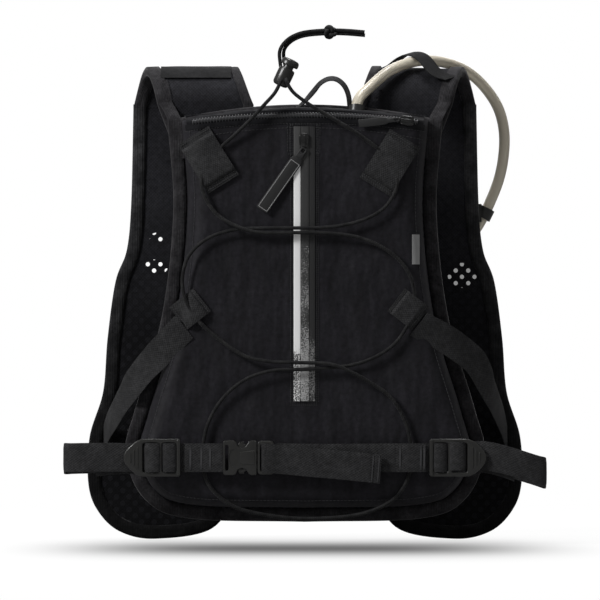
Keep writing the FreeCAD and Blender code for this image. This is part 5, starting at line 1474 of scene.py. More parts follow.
class Bag:
    """The bag: its cloth, strips, seams and label, on the padded back panel with its binding."""

    SPINE = (mm(0, 0, 318), mm(0, 0, 96))
    SHARES = (0, 0.012, 0.03, 0.055, 0.085, 0.12, 0.16, 0.205, 0.255, 0.31, 0.37, 0.43, 0.49, 0.55, 0.61,
              0.67, 0.73, 0.79, 0.85, 0.91, 0.96, 1.0)

    def build(self) -> None:
        """Builds every cloth part of the bag."""
        self.panel()
        self.shell()
        self.seams()
        self.label()

    def panel(self) -> None:
        """The padded, channelled panel against the wearer's back, and the tape round its edge."""
        region = Region(evenly(side_and_base() + top_arc(), 3.2 * MM, closed=True))
        full = PANEL_BACK_Y - SEAM_Y

        def channels(x: float, z: float) -> float:
            """How deep a place lies in the sewn channels, from 0 to 1."""
            ways = [abs(x), abs(abs(x) - 0.058), abs(z - 0.12 - abs(x) * 0.3), abs(z - 0.215 - abs(x) * 0.3),
                    abs(z - 0.31 - abs(x) * 0.3)]
            return math.exp(-((min(ways) / 0.0045) ** 2))

        def near(_x: float, _z: float, gap: float) -> float:
            """Depth of the face on the bag's side."""
            return SEAM_Y + 0.4 * MM * math.exp(-gap / 0.002)

        def far(x: float, z: float, gap: float) -> float:
            """Depth of the face on the wearer's side, which falls away at the edge and in the channels."""
            soft = min(gap / 0.014, 1.0)
            return PANEL_BACK_Y - full * (0.34 * (1 - soft) ** 2 + 0.38 * channels(x, z) * soft)

        panel = pad("back_pad", region, self.SPINE, self.SHARES, near, far)
        dress(panel, "root", Finishes.back, ["back_panel"])
        edge = [Vector((p.x, (SEAM_Y + PANEL_BACK_Y) / 2, p.z)) for p in region.points]
        tape = bind("panel_edge_tape", edge, region.inward, [Vector((0, -1, 0))] * len(edge), full / 2)
        dress(tape, "root", Finishes.binding, ["panel_binding"])
        self.panel_region = region

    def shell(self) -> None:
        """The bag's cloth, which rises from its seam to a soft flat face."""
        side = evenly(BAG.side.points, 2.0 * MM)
        arc = [Vector((x, 0, arched(x, BAG.TOP_DROP))) for x in
               [side[-1].x + (side[0].x - side[-1].x) * i / 110 for i in range(111)]]
        outline = side[2:-2] + arc
        layers = rings(outline, self.SPINE, self.SHARES)
        count = len(outline)
        points, faces = [], []
        for i, layer in enumerate(layers):
            for place in layer:
                spot = BAG.at(place.x, place.z)
                points.append(spot if i else Vector((spot.x, SEAM_Y - 0.2 * MM, spot.z)))
        for i in range(len(layers) - 1):
            faces += tube_faces(i * count, (i + 1) * count, count)
        shell = mesh_object("bag_cloth", points, faces)
        weld(shell, 0.2 * MM)
        self.face_out(shell)
        lining = shell.modifiers.new("lining", "SOLIDIFY")
        lining.thickness = 1.0 * MM
        lining.offset = -1.0
        apply_all(shell)
        smooth(shell, 60)
        dress(shell, "root", Finishes.shell, ["main_shell"])

    def face_out(self, obj: bpy.types.Object) -> None:
        """Turns an open sheet's faces towards the viewer of the bag."""
        total = sum((f.normal * f.area for f in obj.data.polygons), Vector())
        if total.y > 0:
            obj.data.flip_normals()

    def seams(self) -> None:
        """Stitch lines inside the binding and under the top zip, and a box round the zip's upper end."""
        sewing = Sewing()
        inner = BAG.side.moved_in(7 * MM)
        sewing.run([BAG.at(p.x, p.z, 0.15 * MM) for p in inner[6:-6]], BAG.normal)
        under = [mm(x, 0, 0) for x in range(-104, 105, 3)]
        sewing.run([BAG.at(p.x, arched(p.x, 20 * MM), 0.15 * MM) for p in under], BAG.normal)
        for inset in (0.0, 1.8):
            box = [(-15 + inset, 341), (13 - inset, 341), (13 - inset, 369.5 - inset),
                   (-15 + inset, 369.5 - inset)]
            corners = [mm(x, 0, z) for x, z in box]
            line = evenly(corners, 1.5 * MM, closed=True)
            sewing.run([BAG.at(p.x, p.z, 0.2 * MM) for p in line], BAG.normal, 2.6 * MM, closed=False)
        sewing.build("bag_seams", slot="pack_cloth")

    def label(self) -> None:
        """A small bare tag sewn into the bag's right side."""
        line = [mm(96.5, 0, 245 + 26 * i / 12) for i in range(13)]
        tag = face_band("side_tag", line, 6.5 * MM, 0.3 * MM, 0.8 * MM)
        dress(tag, "root", Finishes.label)


# -----------------------------------------------------------------------------
# Harness
# -----------------------------------------------------------------------------
FRONT_SIDE = ((151, BENT_Z), (153, 300), (157, 258), (167, 230), (174, 180), (178, 132), (190, 92), (191, 50),
              (182, 26), (163, 9), (132, 3.2), (82, 13), (64, 52), (50, 130), (46, 300), (60, BENT_Z))
LEG_OUTER = ((107, 301), (110, 329), (115, 351), (120, 364), (128, BENT_Z))
LEG_INNER = ((94, 301), (76, 322), (58, 345), (46, BENT_Z))
CREST_INNER, END_OUTER, END_INNER = 60.0, 151.0, 60.0


def between(pairs: Sequence[Flat], height: float) -> float:
    """The breadth of an edge at a height, from pairs of (breadth, height) listed upwards."""
    for (x0, z0), (x1, z1) in zip(pairs, pairs[1:]):
        if height <= z1:
            return x0 + (x1 - x0) * (height - z0) / (z1 - z0)
    return pairs[-1][0]


@dataclass
class Harness:
    """One side of the vest: shoulder, front panel, its bindings and its flask pocket.

    The shoulder's rows start at LEG_FOOT millimetres on the bag, and the neck's tape at row NECK_ROW.
    """

    LEG_FOOT = 301.0
    LEG_ROWS, BEND_ROWS, NECK_ROW = 20, 40, 12

    side: str
    sign: int

    def build(self) -> None:
        """Builds this side's cloth parts."""
        self.shoulder()
        self.front()
        self.pocket()

    def shoulder_rows(self) -> list[tuple[list[Vector], Vector]]:
        """Rows across the shoulder, each with the direction away from the wearer."""
        rows, wide = [], 15
        middle = (BEND_R - STRAP_THICK / 2)
        for i in range(self.LEG_ROWS + 1):
            height = self.LEG_FOOT + (BENT_Z - self.LEG_FOOT) * i / self.LEG_ROWS
            inner, outer = between(LEG_INNER, height), between(LEG_OUTER, height)
            rows.append((inner, outer, BEND_Y - middle, height * MM, Vector((0, -1, 0))))
        for i in range(1, self.BEND_ROWS + 1):
            turn = math.pi * i / self.BEND_ROWS
            share = i / self.BEND_ROWS
            ease = 4 * share * (1 - share)
            inner = LEG_INNER[-1][0] * (1 - share) + END_INNER * share + ease * (CREST_INNER - 53)
            outer = LEG_OUTER[-1][0] * (1 - share) + END_OUTER * share
            out = Vector((0, -math.cos(turn), math.sin(turn)))
            rows.append((inner, outer, BEND_Y + out.y * middle, BEND_Z + out.z * middle, out))
        result = []
        for inner, outer, y, z, out in rows:
            line = []
            for s in spread(wide):
                x = self.sign * ((inner + outer) / 2 + (outer - inner) * s) * MM
                place = Vector((x, y, z))
                line.append(place + out * (noise.noise(place * 26) * 1.1 * MM))
            result.append((line, out))
        return result

    def shoulder(self) -> None:
        """The shoulder strap from the bag over the shoulder, and the tape on its outer edge."""
        rows = self.shoulder_rows()
        lines = [row for row, _ in rows]
        if self.sign < 0:
            lines = [row[::-1] for row in lines]
        yoke = slab(f"shoulder_{self.side}", lines, STRAP_THICK - 0.8 * MM, 0.5)
        dress(yoke, "root", Finishes.harness, [f"shoulder_yoke_{self.side}"])
        self.edge_tape("shoulder_tape", rows, -1, -2)
        self.seam_tape()
        self.edge_tape("neck_tape", rows[self.NECK_ROW:], 0, 1, lap=8 * MM)

    def edge_tape(self, name: str, rows: Sequence[tuple[list[Vector], Vector]], end: int, beside: int,
                  lap: float = 10.6 * MM) -> None:
        """The tape along one edge of the shoulder.

        Args:
            name: the piece's name, without its side.
            rows: rows of points across the shoulder, each with the direction away from the wearer.
            end: which point of a row lies on the edge.
            beside: which point lies next to it.
            lap: how far the tape reaches inwards.
        """
        edge = [row[end] for row, _ in rows]
        inward = [(row[beside] - row[end]).normalized() for row, _ in rows]
        tape = bind(f"{name}_{self.side}", edge, inward, [out for _, out in rows],
                    STRAP_THICK / 2 - 0.2 * MM, lap=lap, closed=False)
        dress(tape, "root", Finishes.binding)

    def seam_tape(self) -> None:
        """The tape that runs up from the bag's side binding on to the shoulder's outer edge."""
        seam, near = SEAM_Y / MM, STRAP_NEAR_Y / MM
        spots = [(108.6, seam - 1.0, 338), (110, seam - 1.5, 352), (112, seam - 1.7, 364),
                 (114.8, seam - 0.6, 373), (118.2, (seam + near) / 2, 380)]
        for turn in (4, 14, 26, 40):
            angle, reach = math.radians(turn), BEND_R / MM + 0.9
            spots.append((121.8 + turn * 0.13, BENT_Y - math.cos(angle) * reach,
                          BENT_Z + math.sin(angle) * reach))
        stations = [Station(mm(self.sign * x, y, z), Vector((1, 0, 0)), 12 * MM) for x, y, z in spots]
        tape = strap(f"seam_tape_{self.side}", stations, 1.2 * MM)
        dress(tape, "root", Finishes.binding)

    def region(self) -> Region:
        """The outline of the front panel."""
        run = through([mm(self.sign * x, 0, z) for x, z in FRONT_SIDE], 14)
        across = [run[-1].lerp(run[0], i / 20) for i in range(1, 20)]
        points = evenly(run + across, 3.2 * MM, closed=True)
        return Region(points if self.sign > 0 else points[::-1])

    def front(self) -> None:
        """The front panel of padded mesh, bound at its edge."""
        region = self.region()
        spine = [mm(self.sign * x, 0, z) for x, z in ((106, 345), (104, 250), (112, 140), (122, 70))]
        middle, half = (FRONT_NEAR_Y + FRONT_FAR_Y) / 2, STRAP_THICK / 2

        def swell(x: float, z: float, gap: float) -> float:
            """Half the thickness at a place, thinner at the edge and a little wavy."""
            soft = min(gap / 0.012, 1.0)
            fold = 0.9 * MM * noise.noise(Vector((x * 16, 3.0, z * 12)))
            return half * (0.72 + 0.2 * soft) + fold * soft * 0.5

        panel = pad(f"front_pad_{self.side}", region, spine, Bag.SHARES,
                    lambda x, z, gap: middle - swell(x, z, gap), lambda x, z, gap: middle + swell(x, z, gap))
        dress(panel, "root", Finishes.harness, [f"front_panel_{self.side}"])
        high = [i for i, p in enumerate(region.points) if p.z > BEND_Z - 2 * MM]
        top = {i for i in high if END_INNER * MM < abs(region.points[i].x) < END_OUTER * MM}
        count = len(region.points)
        start = next(i for i in range(count) if i not in top and (i - 1) % count in top)
        order = [(start + k) % count for k in range(count - len(top))]
        edge = [Vector((region.points[i].x, middle, region.points[i].z)) for i in order]
        edge = [edge[0] + UP * 6 * MM, *edge, edge[-1] + UP * 6 * MM]
        inward = [region.inward[i] for i in (order[0], *order, order[-1])]
        tape = bind(f"front_tape_{self.side}", edge, inward, [Vector((0, -1, 0))] * len(edge), half,
                    closed=False)
        nodes = ["front_bindings"] if self.sign > 0 else []
        dress(tape, "root", Finishes.edge, nodes)

    def pocket(self) -> None:
        """The stretch pocket for a soft flask, with its elastic hem."""
        low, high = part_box(f"flask_pocket_{self.side}")
        deep, middle, half = high[1] - low[1], (low[0] + high[0]) / 2, (high[0] - low[0]) / 2
        rows = []
        for i in range(25):
            share = i / 24
            z = low[2] + (high[2] - low[2]) * share
            belly = deep * min(1.0, 0.45 + 2.4 * share) * (1 - 0.1 * share)
            row = []
            for s in spread(21):
                curve = (1 - abs(2 * s) ** 3.2) ** 0.5
                x = middle + half * 2 * s * (1 if self.sign > 0 else -1)
                place = Vector((x, low[1] + 0.6 * MM + belly * curve * 0.93, z))
                row.append(place + Vector((0, noise.noise(place * 45) * 0.8 * MM * curve, 0)))
            rows.append(row)
        cover = slab(f"flask_cover_{self.side}", rows, 1.2 * MM, 0.8)
        dress(cover, "root", Finishes.pocket, [f"flask_pocket_{self.side}"])
        hem = [[p + Vector((0, 0.9 * MM, 0)) for p in row] for row in rows[-4:]]
        band = slab(f"flask_hem_{self.side}", hem, 1.2 * MM, 0.8)
        dress(band, "root", Finishes.ribbed)


class Keepers:
    """The elastic bands over the shoulders: one lies flat, and one holds the hose."""

    def build(self) -> None:
        """Both bands."""
        rows = []
        for i in range(17):
            x = (-127 + 62 * i / 16) * MM
            row = []
            for k in range(11):
                turn = math.radians(44 + 56 * k / 10)
                reach = BEND_R + 0.9 * MM + 0.3 * MM * noise.noise(Vector((x * 60, k, 0)))
                row.append(Vector((x, BEND_Y - math.cos(turn) * reach, BEND_Z + math.sin(turn) * reach)))
            rows.append(row)
        flat = slab("keeper_left", rows, 1.3 * MM, 0.7)
        dress(flat, "root", Finishes.ribbed, ["hose_keepers"])
        path = ((70, 8, 419.6), (77, 5, 422.4), (84, 0, 427.6), (90, -5, 430.8), (96, -10, 431.2),
                (102, -15, 428.8), (107.5, -20, 423.4), (113, -24, 416.4), (120, -26.4, 411.4),
                (129, -27.2, 408.8))
        along_hose = Vector((0.72, 0.62, 0.23))
        stations = [Station(mm(x, BEND_Y / MM + d, z), along_hose, 15 * MM) for x, d, z in path]
        band = strap("keeper_right", stations, 1.3 * MM)
        dress(band, "root", Finishes.ribbed)


# -----------------------------------------------------------------------------
# Webbing loops and side straps
# -----------------------------------------------------------------------------
@dataclass(frozen=True)
class CordLoop:
    """A length of webbing sewn down at its ends, arched over a tunnel for the shock cord."""

    name: str
    x: float
    z: float
    width: float
    length: float
    flat: float
    turn: float
    rise: float = 3.6

    def axes(self) -> tuple[Vector, Vector, Vector]:
        """Its middle, the direction across it and the direction along it, in (x, z)."""
        turn = math.radians(self.turn)
        across = Vector((math.cos(turn), 0, -math.sin(turn)))
        along = Vector((math.sin(turn), 0, math.cos(turn)))
        return mm(self.x, 0, self.z), across, along

    def lift(self, run: float) -> float:
        """How far the webbing stands off the bag, at a distance in millimetres from its middle."""
        ramp = 4.5
        share = min(max((abs(run) - self.flat / 2) / ramp, 0.0), 1.0)
        ease = share * share * (3 - 2 * share)
        return 0.9 + self.rise * (1 - ease)

    def rows(self) -> list[list[Vector]]:
        """Points on the webbing's middle surface."""
        middle, across, along = self.axes()
        rows = []
        for i in range(41):
            run = self.length * (i / 40 - 0.5)
            row = []
            for s in spread(9):
                spot = middle + along * (run * MM) + across * (self.width * s * MM)
                row.append(BAG.over(spot.x, spot.z, (self.lift(run) + 0.25 * noise.noise(spot * 120)) * MM))
            rows.append(row)
        return rows

    def sew(self, sewing: Sewing, ends: Iterable[int]) -> None:
        """Two stitch rows near each given end, -1 below and 1 above."""
        middle, across, along = self.axes()
        for end in ends:
            for inset in (2.2, 4.6):
                centre = middle + along * (end * (self.length / 2 - inset) * MM)
                line = [centre + across * (self.width * s * 0.94 * MM) for s in spread(12)]
                sewing.run([BAG.over(p.x, p.z, 3.2 * MM) for p in line], Vector((0, -1, 0)), 2.2 * MM)


class Lacing:
    """The four cord loops and the two compression straps; its sizes are in millimetres and degrees."""

    MIDDLE = -5.0
    UPPER_APART, UPPER_HEIGHT, UPPER_TURN = 79, 334.75, 32
    SIDE_APART, SIDE_HEIGHT, SIDE_TURN = 95, 206, 52

    def build(self) -> None:
        """Loops, straps and their stitches."""
        sewing = Sewing(0.0003)
        pieces = []
        for sign in (-1, 1):
            loop = CordLoop(f"upper_loop_{sign}", self.MIDDLE + sign * self.UPPER_APART,
                            self.UPPER_HEIGHT - sign * 1.25, width=31, length=50, flat=34,
                            turn=sign * self.UPPER_TURN)
            pieces.append(slab(loop.name, loop.rows(), 1.6 * MM))
            loop.sew(sewing, (-1, 1))
            pieces.append(self.hem(loop, 1))
            pieces.append(self.hem(loop, -1))
        upper = join("upper_cord_loops", pieces)
        dress(upper, "root", Finishes.webbing, ["bungee_loops_upper"])
        for side, sign in SIDES:
            loop = CordLoop(f"side_loop_{side}", self.MIDDLE + sign * self.SIDE_APART, self.SIDE_HEIGHT,
                            width=25, length=27, flat=15, turn=sign * (180 - self.SIDE_TURN))
            tape = slab(loop.name, loop.rows(), 1.6 * MM)
            rest = strap(f"side_run_{side}", self.stations(sign), 1.6 * MM, steps=14, wide=9)
            tail = self.hem(loop, -1)
            whole = join(f"side_strap_{side}", [tape, rest, tail])
            dress(whole, "root", Finishes.webbing, [f"compression_strap_{side}"])
            loop.sew(sewing, (-1, 1))
        sewing.build("loop_stitches")

    def hem(self, loop: CordLoop, end: int) -> bpy.types.Object:
        """The folded edge of a loop's webbing at one end: a second layer on top."""
        middle, across, along = loop.axes()
        rows = []
        for i in range(7):
            run = loop.length / 2 - 0.2 - 6.5 * i / 6
            row = []
            for s in spread(9):
                spot = middle + along * (end * run * MM) + across * (loop.width * 1.01 * s * MM)
                row.append(BAG.over(spot.x, spot.z, 2.3 * MM))
            rows.append(row)
        return slab(f"{loop.name}_hem_{end}", rows, 1.3 * MM)

    def stations(self, sign: int) -> list[Station]:
        """Stations of a compression strap from its loop to the front panel."""
        width = 25 * MM
        seam, near = SEAM_Y / MM, FRONT_NEAR_Y / MM
        face = FACE_Y / MM
        turn = math.radians(self.SIDE_TURN)
        edge = Vector((math.cos(turn), 0, math.sin(turn)))
        if sign < 0:
            spots = ((-105, face - 0.2, 191), (-114.5, face + 2, 181), (-124, face + 7, 171),
                     (-133, face + 13, 161.5), (-142, face + 19, 151.5), (-151, face + 28, 140),
                     (-159, seam + 8, 128), (-167, seam + 28, 114), (-174, seam + 52, 102),
                     (-178, near - 2.4, 92))
            ways = (edge, edge, edge, Vector((0.66, 0.3, 0.72)), Vector((0.6, 0.45, 0.66)),
                    Vector((0.45, 0.4, 0.8)), Vector((0.2, 0.2, 1)), Vector((0.1, 0, 1)),
                    Vector((0.04, 0, 1)), Vector((0, 0, 1)))
        else:
            spots = ((99, face - 0.2, 193), (110, face + 2.5, 187), (123, face + 7, 180),
                     (136, face + 13, 171), (149, face + 21, 160), (157, face + 30, 146),
                     (163, seam + 8, 133), (169, seam + 28, 120), (175, seam + 52, 106),
                     (179, near - 2.4, 92))
            ways = (edge, Vector((0.6, 0, 0.8)), Vector((0.56, 0.1, 0.83)), Vector((0.55, 0.25, 0.8)),
                    Vector((0.6, 0.4, 0.7)), Vector((0.5, 0.4, 0.78)), Vector((0.25, 0.2, 1)),
                    Vector((0.12, 0.05, 1)), Vector((0.05, 0, 1)), Vector((0, 0, 1)))
        if sign < 0:
            ways = tuple(Vector((w.x * -1, w.y, w.z)) for w in ways)
        return [Station(mm(*p), w, width) for p, w in zip(spots, ways)]


# -----------------------------------------------------------------------------
# Moulded hardware
# -----------------------------------------------------------------------------
def prism(name: str, outline: Sequence[Flat], y_near: float, y_far: float, rounding: float,
          windows: Sequence[Sequence[Flat]] = (), steps: int = 3) -> bpy.types.Object:
    """A moulded plate from an outline in (x, z), with windows and rounded edges; all in millimetres."""
    body = extruded(name, outline, y_near, y_far)
    for i, window in enumerate(windows):
        cut(body, extruded(f"{name}_window_{i}", window, y_near - 5, y_far + 5))
    soften(body, rounding, steps)
    return body


def extruded(name: str, outline: Sequence[Flat], y_near: float, y_far: float) -> bpy.types.Object:
    """A plate of constant section.

    Args:
        name: the piece's name.
        outline: its outline in (x, z), in millimetres.
        y_near: the depth of its face towards the viewer of the bag, in millimetres.
        y_far: the depth of its other face.

    Returns:
        The closed mesh object.
    """
    mesh = bpy.data.meshes.new(name)
    points = [(x * MM, y_near * MM, z * MM) for x, z in outline]
    mesh.from_pydata(points, [(i, (i + 1) % len(points)) for i in range(len(points))], [])
    obj = bpy.data.objects.new(name, mesh)
    bpy.context.collection.objects.link(obj)
    make_active(obj)
    bpy.ops.object.mode_set(mode="EDIT")
    bpy.ops.mesh.select_all(action="SELECT")
    bpy.ops.mesh.edge_face_add()
    bpy.ops.mesh.extrude_region_move(TRANSFORM_OT_translate={"value": (0, (y_far - y_near) * MM, 0)})
    bpy.ops.mesh.select_all(action="SELECT")
    bpy.ops.mesh.normals_make_consistent(inside=False)
    bpy.ops.object.mode_set(mode="OBJECT")
    return obj


def cut(body: bpy.types.Object, tool: bpy.types.Object, operation: str = "DIFFERENCE") -> None:
    """Cuts one object out of another, or unites them, and removes the tool."""
    change = body.modifiers.new("cut", "BOOLEAN")
    change.object = tool
    change.operation = operation
    change.solver = "EXACT"
    make_active(body)
    bpy.ops.object.modifier_apply(modifier=change.name)
    bpy.data.objects.remove(tool)


def soften(obj: bpy.types.Object, width: float, steps: int = 3) -> None:
    """Rounds every sharp edge of an object, width in millimetres."""
    rounding = obj.modifiers.new("rounding", "BEVEL")
    rounding.width = width * MM
    rounding.segments = steps
    rounding.limit_method = "ANGLE"
    rounding.angle_limit = math.radians(32)
    rounding.use_clamp_overlap = True
    apply_all(obj)
    smooth(obj, 35)


def rounded(left: float, right: float, low: float, high: float, radius: float, steps: int = 5) -> list[Flat]:
    """A rectangle with round corners in (x, z), in millimetres."""
    points = []
    for cx, cz, start in ((right - radius, high - radius, 0), (left + radius, high - radius, 90),
                          (left + radius, low + radius, 180), (right - radius, low + radius, 270)):
        for i in range(steps + 1):
            angle = math.radians(start + 90 * i / steps)
            points.append((cx + radius * math.cos(angle), cz + radius * math.sin(angle)))
    return points


def mirror_flat(points: Iterable[Flat], axis: float) -> list[Flat]:
    """An outline mirrored left to right about x = axis."""
    return [(2 * axis - x, z) for x, z in reversed(list(points))]


@dataclass(frozen=True)
class Buckle:
    """A side release buckle: a socket open to +X, and a plug with two arms and a ladder frame."""

    prefix: str
    left: float
    socket: float
    frame: float
    height: float
    thick: float
    y: float
    z: float
    bodies: tuple[str, str]
    nodes: tuple[str, ...]

    def build(self) -> None:
        """Both halves."""
        self.socket_half()
        self.plug_half()

    def flat(self, points: Iterable[Flat]) -> list[Flat]:
        """Shares of the socket's length and of the half height, made millimetres in place."""
        return [(self.left + a * self.socket, self.z + b * self.height / 2) for a, b in points]

    def socket_half(self) -> None:
        """The socket: waisted where the arms show, with a raised back and a bar for the webbing."""
        half = self.thick / 2
        upper = [(0.0, 0.93), (0.05, 1.0), (0.3, 1.0), (0.38, 0.93), (0.44, 0.66), (0.56, 0.58), (0.68, 0.66),
                 (0.76, 0.92), (0.84, 1.0), (0.97, 1.0), (1.0, 0.94)]
        outline = self.flat(upper + [(a, -b) for a, b in reversed(upper)])
        slot = rounded(self.left + 1.8, self.left + 4.6, self.z - self.height * 0.37,
                       self.z + self.height * 0.37, 1.2)
        shell = prism(f"{self.prefix}_socket", outline, self.y - half, self.y + half, 1.3, [slot], 4)
        window = extruded("mouth", rounded(self.left + self.socket * 0.38, self.left + self.socket + 4,
                                           self.z - self.height * 0.39, self.z + self.height * 0.39, 1.0),
                          self.y - half + 1.5, self.y + half - 1.5)
        cut(shell, window)
        badge = self.flat([(0.3 + 0.13 * math.cos(t), 0.5 * math.sin(t)) for t in
                           [2 * math.pi * i / 28 for i in range(28)]])
        dish = extruded("dish", badge, self.y - half - 3, self.y - half + 0.5)
        cut(shell, dish)
        tongue = self.flat([(0.5, 0.34), (0.94, 0.42), (0.94, -0.42), (0.5, -0.34)])
        ridge = prism("ridge", tongue, self.y - half - 0.45, self.y - half + 0.5, 0.4)
        shell = join(f"{self.prefix}_socket", [shell, ridge])
        smooth(shell, 35)
        dress(shell, self.bodies[0], Finishes.plastic, self.nodes[:1])

    def plug_half(self) -> None:
        """The plug: curved arms with ribbed thumb pads, a middle guide and a ladder frame."""
        half, mouth = self.thick / 2, self.left + self.socket
        end, reach = mouth + self.frame, self.height / 2
        count = 3 if self.frame > 20 else 2
        bar = 2.5
        span = (self.frame - 0.6 - (count + 1) * bar) / count
        windows = []
        for i in range(count):
            start = mouth + 0.6 + bar + i * (span + bar)
            windows.append(rounded(start, start + span, self.z - reach * 0.76, self.z + reach * 0.76, 1.0))
        frame = prism("frame", rounded(mouth + 0.6, end, self.z - reach * 0.97, self.z + reach * 0.97, 3.2),
                      self.y - half + 0.9, self.y + half - 0.9, 0.9, windows)
        guide = prism("guide", rounded(mouth - self.socket * 0.72, mouth + 1.2, self.z - reach * 0.18,
                                       self.z + reach * 0.18, 1.2), self.y - half + 1.9,
                      self.y + half - 1.9, 0.6)
        pieces = [frame, guide]
        for sign in (-1, 1):
            pieces.append(self.arm(sign, half, reach))
        for i in range(1, count):
            x = mouth + 0.6 + bar / 2 + i * (span + bar)
            pieces.append(prism("rung", rounded(x - 1.4, x + 1.4, self.z - reach * 0.8,
                                                self.z + reach * 0.8, 1.0),
                                self.y - half + 0.2, self.y + half - 0.8, 0.8))
        plug = join(f"{self.prefix}_plug", pieces)
        smooth(plug, 35)
        dress(plug, self.bodies[1], Finishes.plastic, self.nodes[1:])

    def arm(self, sign: int, half: float, reach: float) -> bpy.types.Object:
        """One spring arm, bowed outwards in the socket's side window."""
        spine = [(1.04, 0.62), (0.8, 0.64), (0.66, 0.78), (0.55, 0.9), (0.46, 0.84), (0.42, 0.66)]
        under = [(0.46, 0.5), (0.58, 0.6), (0.68, 0.5), (0.8, 0.4), (1.04, 0.4)]
        outline = self.flat([(a, sign * b) for a, b in spine + under])
        arm = prism("arm", outline if sign < 0 else outline[::-1], self.y - half + 1.7, self.y + half - 1.7,
                    0.7)
        grips = []
        for i in range(3):
            x = self.left + self.socket * (0.5 + 0.05 * i)
            z = self.z + sign * reach * 0.86
            grips.append(prism("grip", rounded(x - 0.5, x + 0.5, z - 1.0, z + 1.0, 0.4), self.y - half + 1.5,
                               self.y + half - 1.5, 0.25))
        return join("arm", [arm, *grips])


